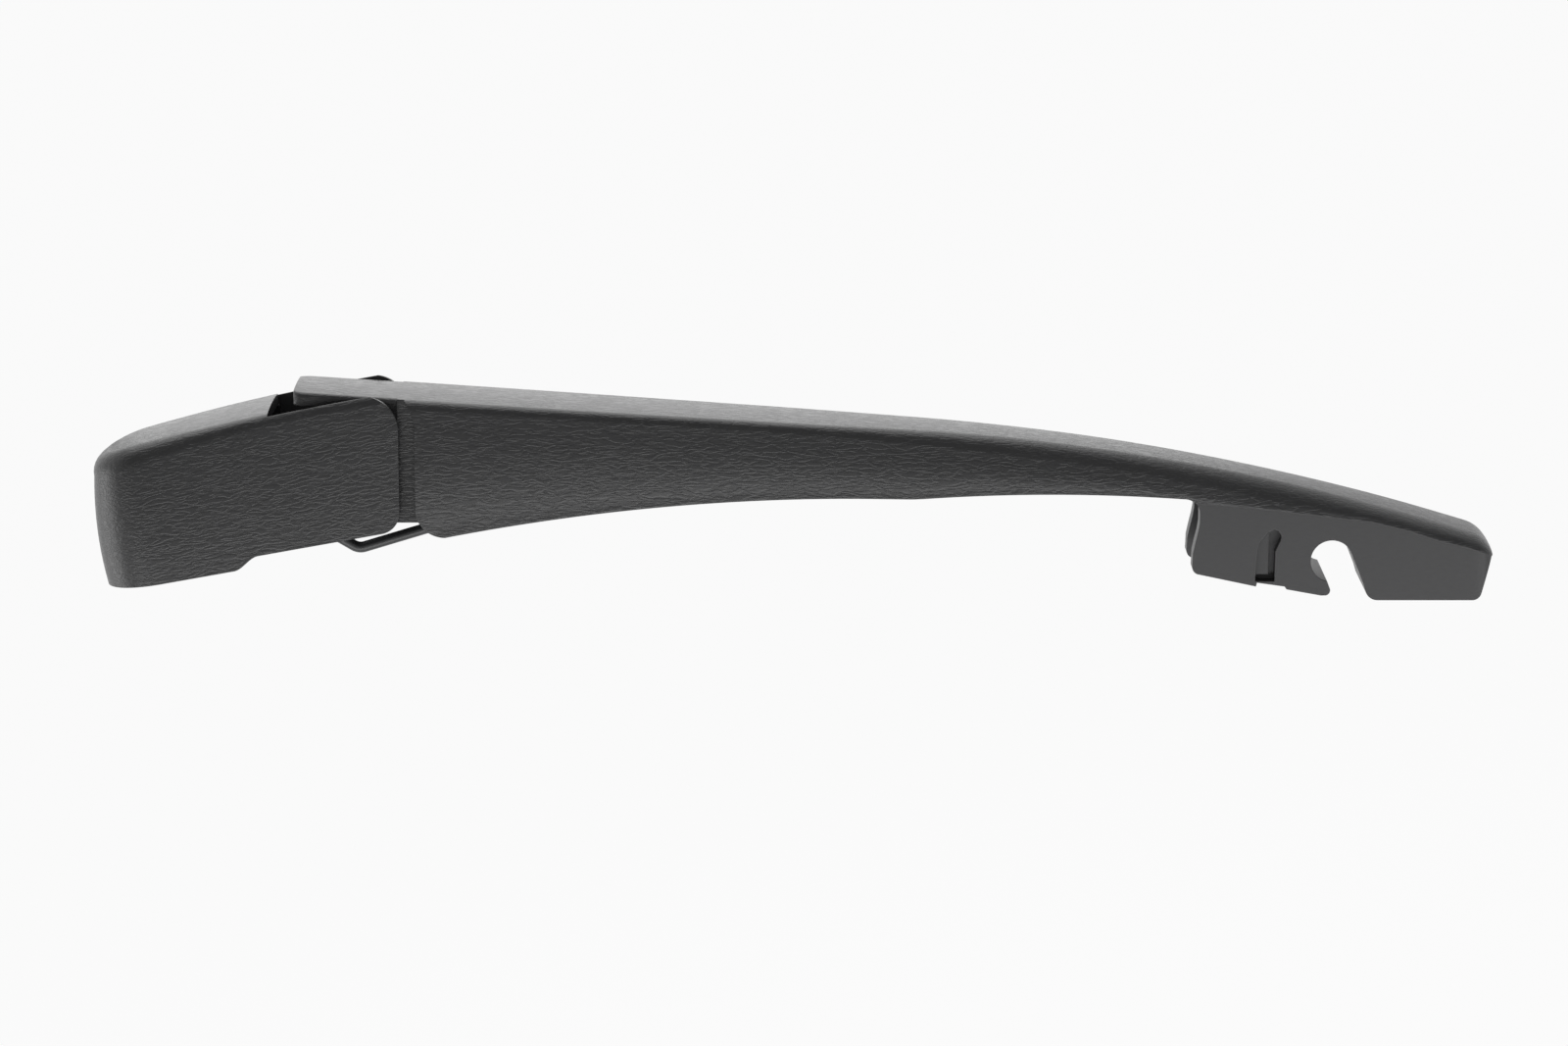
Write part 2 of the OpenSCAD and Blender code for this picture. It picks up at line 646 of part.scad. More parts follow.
// Turns a point of the arm's frame into the head's frame
function from_arm(p) = [
    pivot_x + p[0] * cos(arm_slope) + p[1] * sin(arm_slope),
    pivot_z - p[0] * sin(arm_slope) + p[1] * cos(arm_slope)
];
anchor_at = from_arm([anchor_x, -anchor_drop]);
pull = anchor_at - link_pin_at;
pull_l = norm(pull);
pull_angle = atan2(pull[1], pull[0]);

eye_r = link_pin_d / 2 + pin_fit * 3 + link_wire / 2;
hook_eye_r = coil_wire + link_wire / 2 + 0.5;

module at_pull() {
    translate([link_pin_at[0], 0, link_pin_at[1]]) rotate([0, -pull_angle, 0]) children();
}

// A ring of the link's wire about an axis across the part
module link_ring(x, r) {
    translate([x, 0, 0]) rotate([90, 0, 0])
        rotate_extrude() translate([r, 0]) circle(d = link_wire + 0.2, $fn = 24);
}

// Depth of the link's bow under the line of pull, from the depth of its bend under the pivot
bow_x = 14.4;
bow_depth = let (on_line = link_pin_at[1] + bow_x * sin(pull_angle))
    (on_line - (pivot_z - link_bend_drop)) / cos(pull_angle);

// A corner of a path at b, rounded with the radius r
function corner(a, b, c, r) = let (
        u = unit(a - b),
        v = unit(c - b),
        half = acos(u * v) / 2,
        reach = r / tan(half),
        n = 5
    ) [for (i = [0:n]) let (t = i / n)
        (1 - t) * (1 - t) * (b + u * reach) + 2 * t * (1 - t) * b + t * t * (b + v * reach)];

module hook_link() {
    a = [0, 0, 0];
    b = [bow_x, 0, -bow_depth];
    c = [link_l - 10, 0, -bow_depth * 0.6];
    d = [link_l, 0, 0];
    u = unit(b - a);
    v = unit(c - d);
    color("#3a3c3f") at_pull() union() {
        link_ring(0, eye_r);
        link_ring(link_l, hook_eye_r);
        wire(concat([a + u * eye_r], corner(a, b, c, 3), corner(b, c, d, 3), [d + v * hook_eye_r]),
            link_wire, 16, [0, 1, 0]);
    }
}

turn_steps = 12;
coil_r = (coil_d - coil_wire) / 2;
loop_r = coil_wire + 0.9;
near_loop_x = link_l + hook_eye_r;
coil_start = near_loop_x + loop_r + 3.2;
coil_end = pull_l - spring_pin_d / 2 - coil_wire * 3.2;
turns = round((coil_end - coil_start) / (coil_wire + 0.06));
pitch = (coil_end - coil_start) / turns;

// Smooth bend between two points with given directions
function bend(p, pd, q, qd, n) = [for (i = [1:n - 1]) let (t = i / n)
    pow(1 - t, 3) * p + 3 * pow(1 - t, 2) * t * (p + pd) + 3 * (1 - t) * t * t * (q - qd) + t * t * t * q];

function spring_path() = let (
        far = pull_l,
        loop_n = 12,
        near_loop = [for (i = [0:loop_n]) let (a = 50 + 260 * i / loop_n)
            [near_loop_x + loop_r * cos(a), loop_r * sin(a), 0]],
        coil = [for (i = [0:turns * turn_steps]) let (a = 360 * i / turn_steps)
            [coil_start + pitch * i / turn_steps, coil_r * cos(a), coil_r * sin(a)]],
        far_loop = [for (i = [0:loop_n]) let (a = 215 + 275 * i / loop_n)
            [far + loop_r * cos(a), 0, loop_r * sin(a)]],
        near_end = near_loop[loop_n],
        near_dir = unit(near_end - near_loop[loop_n - 1]),
        far_start = far_loop[0],
        far_dir = unit(far_loop[1] - far_start)
    ) concat(
        near_loop,
        bend(near_end, near_dir * 1.5, coil[0], [0.4, 0, 2.2], 6),
        coil,
        bend(coil[len(coil) - 1], [0.4, 0, 2.6], far_start, far_dir * 2.2, 7),
        far_loop
    );

module spring() {
    color("#4a4c50") at_pull() wire(spring_path(), coil_wire, 6, [0, 0, 1]);
}

head();
cap();
arm();
pivot_pin();
link_pin();
hook_link();
spring();
spring_pin();
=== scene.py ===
# %% [markdown]
# # A rear-window wiper arm
# The arm is one long plastic moulding with a leather grain, open underneath like a gutter. Its
# mounting end hides under a grained cap of its own. Inside are a die-cast head, three pins, a
# bent wire link and a coil spring. The moving frame comes ready made and stays as it is. This
# lesson dresses it: two moulded shells, a swept wire, a coil and the finishes.

import json
import math

import bmesh
import bpy
from mathutils import Matrix, Vector

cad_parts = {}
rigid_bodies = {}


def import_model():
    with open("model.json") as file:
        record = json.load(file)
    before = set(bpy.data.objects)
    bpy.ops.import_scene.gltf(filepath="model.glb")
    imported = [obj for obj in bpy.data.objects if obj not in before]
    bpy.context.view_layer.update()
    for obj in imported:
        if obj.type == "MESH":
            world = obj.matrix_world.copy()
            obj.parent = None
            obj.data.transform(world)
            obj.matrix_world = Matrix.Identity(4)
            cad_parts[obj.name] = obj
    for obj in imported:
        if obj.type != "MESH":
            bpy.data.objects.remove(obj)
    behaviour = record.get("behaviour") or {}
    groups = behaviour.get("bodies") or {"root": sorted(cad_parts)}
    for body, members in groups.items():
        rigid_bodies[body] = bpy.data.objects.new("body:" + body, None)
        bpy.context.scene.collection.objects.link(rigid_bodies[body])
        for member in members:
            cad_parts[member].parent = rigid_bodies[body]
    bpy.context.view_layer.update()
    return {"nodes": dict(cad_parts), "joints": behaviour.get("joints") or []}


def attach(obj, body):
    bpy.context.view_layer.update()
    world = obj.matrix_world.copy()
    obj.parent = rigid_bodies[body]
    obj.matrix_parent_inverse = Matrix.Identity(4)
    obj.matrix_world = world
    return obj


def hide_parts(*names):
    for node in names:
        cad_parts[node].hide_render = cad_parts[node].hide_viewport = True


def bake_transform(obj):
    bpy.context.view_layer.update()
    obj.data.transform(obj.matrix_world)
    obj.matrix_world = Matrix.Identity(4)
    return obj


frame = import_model()

# %% [markdown]
# ## Units and the arm's own frame
# The moulding is easiest to draw along its own length, in millimetres. The arm slopes down from its
# pivot at rest, so its pieces are modelled level, with the pivot as their origin, and one matrix
# then sets them in place. A texture that runs along the arm then needs no turning either.

# %% Units and places
MM = 0.001
joints = {joint["name"]: joint for joint in frame["joints"]}
pivot = Vector(joints["arm_lift"]["pos_m"])
link_pivot = Vector(joints["link_swing"]["pos_m"])
ARM_SLOPE = math.radians(10.3)
IN_PLACE = Matrix.Scale(MM, 4)
ON_ARM = Matrix.Translation(pivot) @ Matrix.Rotation(ARM_SLOPE, 4, "Y") @ IN_PLACE
print("pivot at", [round(c / MM, 2) for c in pivot], "mm")

# %% [markdown]
# ## The camera
# The picture was taken with a long lens from the side, a little above the arm, and turned so that
# the arm's sloping top lies across the frame. A camera that looks at one named target, with its up
# vector tied to the arm's own frame, repeats that. The focal length follows from how many pixels a
# millimetre covers at the target's distance.

# %% Camera
PICTURE_W = 1600
PIXELS_PER_MM = 4.92
CAMERA_DISTANCE = 1020
CAMERA_ABOVE = math.radians(13)
SENSOR_W = 36
target = Vector((126.4, 0, -30.3)) * MM


def look_from(place, toward, up):
    """World matrix of a camera at place that looks toward a point, with up at the picture's top."""
    forward = (toward - place).normalized()
    right = forward.cross(up).normalized()
    above = right.cross(forward)
    turn = Matrix((right, above, -forward)).transposed().to_4x4()
    return Matrix.Translation(place) @ turn


def new_object(name, data):
    """An object that shows the given data in the scene."""
    made = bpy.data.objects.new(name, data)
    bpy.context.scene.collection.objects.link(made)
    return made


arm_up = Matrix.Rotation(ARM_SLOPE, 3, "Y") @ Vector((0, 0, 1))
across = Vector((0, 1, 0))
view_line = across * math.cos(CAMERA_ABOVE) - arm_up * math.sin(CAMERA_ABOVE)
camera_data = bpy.data.cameras.new("camera")
camera_data.sensor_width = SENSOR_W
camera_data.lens = SENSOR_W * PIXELS_PER_MM * CAMERA_DISTANCE / PICTURE_W
camera_data.clip_end = 20
camera = new_object("camera", camera_data)
camera.matrix_world = look_from(target - view_line * CAMERA_DISTANCE * MM, target, arm_up)
bpy.context.scene.camera = camera
print("lens", round(camera_data.lens, 1), "mm")

# %% [markdown]
# ## Nodes and colours
# Every finish below is a small node tree. One function adds a node, sets it and links it, so that a
# material reads from top to bottom, and two more shorten the sums. Colours are written as the hex
# values that a colour picker shows, and one function turns them to the linear values that the
# shader works in.

# %% Node and colour helpers


def linear(hex_colour):
    """Linear RGBA of an sRGB hex colour, by the two-part curve of the sRGB standard."""
    channels = [int(hex_colour[i:i + 2], 16) / 255 for i in (1, 3, 5)]
    return [c / 12.92 if c <= 0.04045 else ((c + 0.055) / 1.055) ** 2.4 for c in channels] + [1]


def add(tree, kind, settings=None, values=None, links=None):
    """Adds a shader node: settings are its attributes, values its inputs, links what feeds them."""
    node = tree.nodes.new("ShaderNode" + kind)
    for name, value in (settings or {}).items():
        setattr(node, name, value)
    for name, value in (values or {}).items():
        node.inputs[name].default_value = value
    for name, source in (links or {}).items():
        tree.links.new(source, node.inputs[name])
    return node


def calc(tree, operation, *parts):
    """Output of a maths node; each part is a number or another node's output."""
    node = add(tree, "Math", {"operation": operation})
    for socket, part in zip(node.inputs, parts):
        if isinstance(part, (int, float)):
            socket.default_value = part
        else:
            tree.links.new(part, socket)
    return node.outputs[0]


def remap(tree, value, start=0.0, end=1.0, low=0.0, high=1.0, soft=False):
    """A value's way from start to end as a number from low to high; soft eases both ends."""
    kind = {"interpolation_type": "SMOOTHSTEP"} if soft else {}
    ends = {"From Min": start, "From Max": end, "To Min": low, "To Max": high}
    return add(tree, "MapRange", kind, ends, {"Value": value}).outputs[0]


def new_material(name):
    """An empty material and its node tree."""
    material = bpy.data.materials.new(name)
    material.use_nodes = True
    material.node_tree.nodes.clear()
    return material, material.node_tree


print("#808080 is linear", round(linear("#808080")[0], 3))

# %% [markdown]
# ## Floor and light
# The picture is a catalogue shot: white all round, with no shadow anywhere in the frame. A pale
# floor lies well below, out of the view. The world is white to the camera, and to reflections too,
# which puts the bright sheen on faces seen at a grazing angle. Toward the room in front both the
# world and the far floor turn dim in reflections, so an upright flank stays dark as it does in the
# picture. Four soft lamps shape the object: one above, a weak one behind for the top edge, a long
# one low in front for the lower flank, and a small one on the left for the nose.

# %% Floor
FLOOR_DROP = 0.6
FLOOR_SIZE = 60
FLOOR_GLOW = 0.93
FRONT_SHADE = 0.38


def flat_quad(name, size, height):
    """A square sheet about the origin at the given height."""
    half = size / 2
    mesh = bpy.data.meshes.new(name)
    plan = [(-half, -half), (half, -half), (half, half), (-half, half)]
    mesh.from_pydata([(x, y, height) for x, y in plan], [], [(0, 1, 2, 3)])
    return new_object(name, mesh)


def in_reflection(tree, ray):
    """1 for the rays that a surface mirrors or lets through, 0 for all others."""
    return calc(tree, "MAXIMUM", ray.outputs["Is Glossy Ray"], ray.outputs["Is Transmission Ray"])


def pale_floor_paint():
    """Matt white paint: white to the camera and to reflections near by, but dim far in front."""
    material, tree = new_material("matt_white_paint")
    paint = add(tree, "BsdfPrincipled", values={"Base Color": linear("#dcdcdc"), "Roughness": 0.9})
    white = add(tree, "Emission", values={"Color": (1, 1, 1, 1), "Strength": 1})
    ray = add(tree, "LightPath")
    lift = calc(tree, "MULTIPLY", ray.outputs["Is Camera Ray"], FLOOR_GLOW)
    place = add(tree, "NewGeometry").outputs["Position"]
    where = add(tree, "SeparateXYZ", links={"Vector": place})
    fade = remap(tree, where.outputs["Y"], -0.6, -2.6, 1, FRONT_SHADE, soft=True)
    mirrored = calc(tree, "MULTIPLY", in_reflection(tree, ray), fade)
    glow = calc(tree, "MAXIMUM", lift, mirrored)
    mix = add(tree, "MixShader", links={0: glow, 1: paint.outputs[0], 2: white.outputs[0]})
    add(tree, "OutputMaterial", links={"Surface": mix.outputs[0]})
    return material


floor = flat_quad("floor", FLOOR_SIZE, -FLOOR_DROP)
floor.data.materials.append(pale_floor_paint())
print("floor", FLOOR_DROP, "m below the nut seat")

# %% World
WORLD_LIGHT = 0.45
HEIGHT_SHARE = -0.5


def white_world():
    """White to the camera and to reflections, dim toward the room in front, weaker as light."""
    world = bpy.data.worlds.new("studio")
    world.use_nodes = True
    tree = world.node_tree
    tree.nodes.clear()
    direction = add(tree, "TexCoord").outputs["Generated"]
    toward = add(tree, "SeparateXYZ", links={"Vector": direction})
    forward = calc(tree, "MULTIPLY_ADD", toward.outputs["Z"], HEIGHT_SHARE, toward.outputs["Y"])
    in_front = remap(tree, forward, -0.15, -1.05, soft=True)
    above = remap(tree, toward.outputs["Z"], -0.05, 0.12, soft=True)
    mirrored = remap(tree, calc(tree, "MULTIPLY", in_front, above), low=1, high=FRONT_SHADE)
    ray = add(tree, "LightPath")
    as_light = add(tree, "MapRange", values={"To Min": WORLD_LIGHT},
                   links={"Value": in_reflection(tree, ray), "To Max": mirrored})
    shown = calc(tree, "MAXIMUM", as_light.outputs[0], ray.outputs["Is Camera Ray"])
    sky = add(tree, "Background", values={"Color": (1, 1, 1, 1)}, links={"Strength": shown})
    add(tree, "OutputWorld", links={"Surface": sky.outputs[0]})
    return world


bpy.context.scene.world = white_world()
print("the world lights at", WORLD_LIGHT, "and shows", FRONT_SHADE, "in front")

# %% Lamps


def soft_lamp(name, place, deep, long, watts):
    """A flat lamp that faces the middle of the arm, with its long side along the arm."""
    data = bpy.data.lights.new(name, "AREA")
    data.shape = "RECTANGLE"
    data.size = deep
    data.size_y = long
    data.energy = watts
    new_object(name, data).matrix_world = look_from(Vector(place), target, Vector((1, 0, 0)))


soft_lamp("lamp_above", (0.1, 0.5, 1.08), 1.1, 1.1, 6)
soft_lamp("lamp_behind", (0.1, 1.4, 0.45), 0.9, 0.9, 2)
soft_lamp("lamp_below", (0.1, -0.43, -0.37), 0.3, 1.5, 3.5)
soft_lamp("lamp_left", (-0.8, 0.1, -0.1), 0.5, 0.5, 1.3)
bpy.context.scene.view_settings.view_transform = "Standard"
print("lamps:", sorted(lamp.name for lamp in bpy.data.lights))

# %% [markdown]
# ## Grained plastic
# The arm and the cap are injection moulded in black PBT with glass fibre. Their tool is etched with
# a leather grain: low folds less than 1 mm apart, drawn out along the arm, with fine creases
# between them. The grain could be modelled, but at a depth of a few hundredths of a millimetre a
# bump does the same for the eye. A noise stretched along the arm gives the folds. Where it passes
# its middle value it makes a thin wavy line, and those lines are the creases. A finer noise breaks
# up the gloss.

# %% Texture helpers
EDGE_ROUND = 0.25


def per_mm(size):
    """Texture scale, for coordinates in millimetres, at which a pattern repeats every size mm."""
    return 1 / size


def rounded_normal(tree):
    """The surface's normal with its sharp edges rounded off."""
    return add(tree, "Bevel", {"samples": 6}, {"Radius": EDGE_ROUND * MM}).outputs[0]


def two_tone(tree, share, dark, light):
    """A colour that runs between two hex colours."""
    ramp = add(tree, "ValToRGB", links={"Fac": share})
    ramp.color_ramp.elements[0].color = linear(dark)
    ramp.color_ramp.elements[1].color = linear(light)
    return ramp.outputs[0]


print("a pattern of 2 mm has the scale", per_mm(2))

# %% Grained PBT
GRAIN_W = 0.8
GRAIN_L = 3.4
GRAIN_DEPTH = 0.055


def grained_pbt():
    """Black glass-filled PBT from a grained tool: dull, with a soft sheen at grazing angles."""
    material, tree = new_material("pbt_leather_grain")
    place = add(tree, "TexCoord").outputs["Object"]
    grain_size = (per_mm(GRAIN_L), per_mm(GRAIN_W), per_mm(GRAIN_W))
    stretched = add(tree, "Mapping", values={"Scale": grain_size}, links={"Vector": place})
    folds = add(tree, "TexNoise", values={"Scale": 1.0, "Detail": 1.5, "Distortion": 0.5},
                links={"Vector": stretched.outputs[0]})
    ridge = calc(tree, "ABSOLUTE", calc(tree, "SUBTRACT", folds.outputs["Fac"], 0.5))
    crease = remap(tree, ridge, end=0.12, soft=True)
    fine = add(tree, "TexNoise", values={"Scale": per_mm(0.45), "Detail": 3.0},
               links={"Vector": place})
    height = add(tree, "Mix", {"data_type": "FLOAT"}, {0: 0.15},
                 {2: crease, 3: fine.outputs["Fac"]})
    bump = add(tree, "Bump", values={"Strength": 0.7, "Distance": GRAIN_DEPTH * MM},
               links={"Height": height.outputs[0], "Normal": rounded_normal(tree)})
    cloud = add(tree, "TexNoise", values={"Scale": per_mm(9), "Detail": 2.0},
                links={"Vector": place})
    shade = remap(tree, cloud.outputs["Fac"], high=0.5)
    # Colour: the crease lines are painted darker, which is painted shade in the creases; the cloud
    # adds a random mottle of the plastic itself.
    crease_shade_and_cloud = calc(tree, "MULTIPLY_ADD", crease, 0.5, shade)
    colour = two_tone(tree, crease_shade_and_cloud, "#1a1a1b", "#232324")
    rough = remap(tree, crease, low=0.38, high=0.31)
    shader = add(tree, "BsdfPrincipled", values={"IOR": 1.5, "Specular IOR Level": 0.5},
                 links={"Base Color": colour, "Roughness": rough, "Normal": bump.outputs[0]})
    add(tree, "OutputMaterial", links={"Surface": shader.outputs[0]})
    return material


grain = grained_pbt()
print("grain", GRAIN_L, "by", GRAIN_W, "mm")

# %% [markdown]
# ## Plain moulded plastic
# The blade holder and the inside of both mouldings come from parts of the tool that aren't etched.
# The plastic is the same, but its skin is smoother, so it looks a little lighter and more even,
# with only the faint clouding that glass fibre gives a moulded face. It could share the grain's
# nodes with the bump turned down, but a plainer tree is enough, and it serves the metals too.

# %% Plain PBT
MM_PER_UNIT = {"m": 1000, "mm": 1}


def marked_skin(name, dark, light, size, depth, finish, unit="m", detail=4.0, strength=0.4):
    """A finish whose colour and bump follow one noise of the given size in millimetres."""
    material, tree = new_material(name)
    place = add(tree, "TexCoord").outputs["Object"]
    stretched = add(tree, "Mapping", values={"Scale": [MM_PER_UNIT[unit] / s for s in size]},
                    links={"Vector": place})
    mark = add(tree, "TexNoise", values={"Scale": 1.0, "Detail": detail},
               links={"Vector": stretched.outputs[0]}).outputs["Fac"]
    bump = add(tree, "Bump", values={"Strength": strength, "Distance": depth * MM},
               links={"Height": mark, "Normal": rounded_normal(tree)})
    colour = two_tone(tree, mark, dark, light)
    shader = add(tree, "BsdfPrincipled", values=finish,
                 links={"Base Color": colour, "Normal": bump.outputs[0]})
    add(tree, "OutputMaterial", links={"Surface": shader.outputs[0]})
    return material


plain = marked_skin("pbt_bare_tool", "#2b2b2c", "#333334", (1.6, 0.5, 0.5), 0.02,
                    {"IOR": 1.5, "Roughness": 0.42}, unit="mm", detail=3.0, strength=0.25)
print("plain plastic:", plain.name)

# %% [markdown]
# ## Metals
# The head is cast in a zinc alloy and left bare, so it is a soft grey with the fine orange peel of
# a cast skin. The pins are drawn steel with a thin zinc coat. The link is spring wire under a black
# dip coat, which hides the metal, and the coil is phosphated, a dark grey crystal skin that stops
# rust. Each one is a metal or a coat over metal, told apart by its colour, its roughness and the
# direction of its marks.

# %% Cast alloy, pins, wire and coil
cast_zinc = marked_skin("zinc_die_cast", "#85878a", "#9fa1a4", (0.7, 0.7, 0.7), 0.03,
                        {"Metallic": 1.0, "Roughness": 0.48})
drawn_pin = marked_skin("steel_zinc_plated", "#9a9c9e", "#b4b6b8", (0.4, 3.0, 0.4), 0.01,
                        {"Metallic": 1.0, "Roughness": 0.3})
dip_coat = marked_skin("black_dip_coat", "#1d1e1f", "#292a2b", (1.2, 1.2, 1.2), 0.03,
                       {"Metallic": 0.0, "Roughness": 0.36}, unit="mm")
phosphate = marked_skin("phosphated_spring_steel", "#2f3133", "#454749", (0.5, 0.5, 0.5), 0.02,
                        {"Metallic": 0.7, "Roughness": 0.5})
print("materials:", sorted(m.name for m in bpy.data.materials))

# %% [markdown]
# ## Mesh tools
# A moulding like this is a loft: one closed ring of points at each station along it, joined by
# quads. Holes and rooms for other pieces are cut afterwards with simple solids, as a toolmaker
# would spark them into the mould. A few short functions are enough for that: a skin over rings, a
# side view pulled across the part, a round pin, and a cut.

# %% Solids
PIN_STEPS = 48


def solid(name, points, faces):
    """A mesh object with its faces turned outward."""
    mesh = bpy.data.meshes.new(name)
    shape = bmesh.new()
    corners = [shape.verts.new(p) for p in points]
    for face in faces:
        shape.faces.new([corners[i] for i in face])
    bmesh.ops.recalc_face_normals(shape, faces=shape.faces)
    shape.to_mesh(mesh)
    shape.free()
    return new_object(name, mesh)


def loft(name, rings):
    """A solid skinned over equal closed rings, with strips of quads across both ends."""
    n = len(rings[0])
    points = [p for ring in rings for p in ring]
    faces = [(i * n + j, i * n + (j + 1) % n, (i + 1) * n + (j + 1) % n, (i + 1) * n + j)
             for i in range(len(rings) - 1) for j in range(n)]
    for first in (0, (len(rings) - 1) * n):
        faces += [(first + j, first + j + 1, first + n - 2 - j, first + n - 1 - j)
                  for j in range(n // 2 - 1)]
    return solid(name, points, faces)


def side_view(name, outline, y_from, y_to):
    """A solid whose side view is the outline of X and Z points, between two values of Y."""
    n = len(outline)
    points = [(x, y, z) for y in (y_from, y_to) for x, z in outline]
    faces = [tuple(range(n)), tuple(range(2 * n - 1, n - 1, -1))]
    faces += [(i, (i + 1) % n, n + (i + 1) % n, n + i) for i in range(n)]
    return solid(name, points, faces)


def arc(x, z, r, start, end, steps):
    """Points of a circular arc, with its angles in degrees."""
    turns = [math.radians(start + (end - start) * i / steps) for i in range(steps + 1)]
    return [(x + r * math.cos(a), z + r * math.sin(a)) for a in turns]


def cross_pin(name, x, z, d, length):
    """A round bar across the part."""
    circle = arc(x, z, d / 2, 0, 360 - 360 / PIN_STEPS, PIN_STEPS - 1)
    return side_view(name, circle, -length / 2, length / 2)


def block(name, low, high):
    """A box between two corners."""
    (x0, y0, z0), (x1, y1, z1) = low, high
    return side_view(name, [(x0, z0), (x1, z0), (x1, z1), (x0, z1)], y0, y1)


print("a pin has", PIN_STEPS, "sides, each", round(360 / PIN_STEPS, 1), "degrees")

# %% Cuts, edges and shading
SMOOTH_BELOW = 32


def settle(piece):
    """Applies a piece's modifiers to its mesh."""
    bpy.context.view_layer.update()
    depsgraph = bpy.context.evaluated_depsgraph_get()
    mesh = bpy.data.meshes.new_from_object(piece.evaluated_get(depsgraph))
    piece.modifiers.clear()
    piece.data = mesh


def combine(piece, tools, operation="DIFFERENCE"):
    """Cuts the tools from a piece, or joins them to it, and removes them."""
    for tool in tools:
        change = piece.modifiers.new("change", "BOOLEAN")
        change.solver = "EXACT"
        change.operation = operation
        change.object = tool
        settle(piece)
        bpy.data.objects.remove(tool)


def round_edges(piece, width, segments, sharper_than):
    """Rounds the edges that are sharper than an angle in degrees."""
    bevel = piece.modifiers.new("bevel", "BEVEL")
    bevel.width = width
    bevel.segments = segments
    bevel.limit_method = "ANGLE"
    bevel.angle_limit = math.radians(sharper_than)
    settle(piece)


def smooth(piece, sharper_than=SMOOTH_BELOW):
    """Smooth shading, with edges kept sharp past an angle in degrees."""
    piece.data.shade_smooth()
    piece.data.set_sharp_from_angle(angle=math.radians(sharper_than))


print("edges stay sharp past", SMOOTH_BELOW, "degrees")

# %% [markdown]
# ## The arm's lines
# The arm is described by four lines along its length: its top, which is straight and then bows down
# to the glass, its lower edge, which is deep at the shoulders and again at the blade holder, its
# half width, and the rounding of its top edges, which grows softer toward the blade. Each is a
# short function of the distance from the pivot, so any station along the arm can be worked out. A
# fifth line, where the grain stops, also sets where the flank turns upright at the blade holder.

# %% Top of the arm
ARM_L = 232
TOP_RISE = 8.5
TOP_FALL = 0.066
BOW_START = 112
BOW_R = 480
TIP_ROUND = 4
TIP_FLATTEN = 0.7


def ease(x, a, b):
    """Share of the way from a to b, eased at both ends."""
    t = min(1, max(0, (x - a) / (b - a)))
    return t * t * (3 - 2 * t)


def arm_top(x):
    """Height of the top: straight, then bowed, then rounded over the tip."""
    bow = max(0, x - BOW_START)
    tip = max(0, x - ARM_L + TIP_ROUND)
    drop = BOW_R - math.sqrt(BOW_R ** 2 - bow ** 2)
    over = TIP_ROUND - math.sqrt(max(0, TIP_ROUND ** 2 - tip ** 2))
    return TOP_RISE - TOP_FALL * x - drop - over * TIP_FLATTEN


print("arm top over the pivot", TOP_RISE, "mm, at the tip", round(arm_top(ARM_L), 1), "mm")

# %% Lower edge of the arm
SHOULDER_X = 10.3
SHOULDER_DROP = 20.7
SHOULDER_R = 6
LEVEL_START = 98
LEVEL_DROP = 12.7
HUMP_X = 141
HUMP_RISE = 0.8
HUMP_SPREAD = 780
HUMP_RUN = 18
SEAT_X = 198.6
SEAT_DROP = 25.9
SEAT_D = 8.7
HEEL_DROP = 34.2
UNDER = 1.5
HOLDER_START = SEAT_X - 28.6
SLENDER_END = HOLDER_START - 9
DEEP_START = HOLDER_START - 8


def arm_hump(x):
    """Faint hump of the lower edge; past it, the line where the flank turns upright."""
    return HUMP_RISE - (x - HUMP_X) ** 2 / HUMP_SPREAD


def arm_slender(x):
    """Height of the slender part's lower edge: deep at the shoulders, then level to the hump."""
    rise = (SHOULDER_DROP - LEVEL_DROP) / (LEVEL_START - SHOULDER_X - SHOULDER_R) ** 2
    from_level = max(0, LEVEL_START - max(x, SHOULDER_X))
    lift = max(-0.2, arm_hump(x)) * ease(x, LEVEL_START, LEVEL_START + HUMP_RUN)
    return -LEVEL_DROP - rise * from_level ** 2 + lift


def arm_foot(x):
    """Height of the uncut moulding's lower edge, which drops below the heel at the holder."""
    low = -HEEL_DROP - UNDER
    return arm_slender(x) + (low - arm_slender(x)) * ease(x, SLENDER_END, DEEP_START)


print("lower edge at the hump", round(arm_foot(HUMP_X), 1), "mm, uncut at the seat",
      round(arm_foot(SEAT_X), 1), "mm")

# %% Width, lean and rounding
ARM_W = 24.6
TIP_W = 19.8
NECK_W = 18.9
NECK_END = SHOULDER_X - 3.5
TONGUE_L = 14.5
TAIL_ROUND = 3
TAIL_IN = 1.8
TIP_PLAN = 5
TIP_IN = 0.3


def arm_half(x):
    """Half width at the lower edge."""
    if x < NECK_END:
        tail = min(1, max(0, TAIL_ROUND - TONGUE_L - x) / TAIL_ROUND)
        return NECK_W / 2 - TAIL_IN * (1 - math.sqrt(1 - tail * tail))
    wide = ARM_W / 2 + (TIP_W - ARM_W) / 2 * ease(x, -30, 150)
    tip = max(0, x - ARM_L + TIP_PLAN) / TIP_PLAN
    return wide * (1 - TIP_IN * (1 - math.sqrt(max(0, 1 - tip ** 3))))


def arm_draft(x):
    """Lean of the flanks in millimetres for each millimetre of height."""
    return 0 if x < NECK_END else 0.03 + 0.055 * ease(x, 20, 180)


def arm_edge(x):
    """Rounding of the top edges."""
    return 1 if x < NECK_END else 2.2 + 1.8 * ease(x, 80, 140) + 1.2 * ease(x, 130, 210)


print("width at the shoulder", round(2 * arm_half(SHOULDER_X), 1), "mm, at the seat",
      round(2 * arm_half(SEAT_X), 1), "mm")

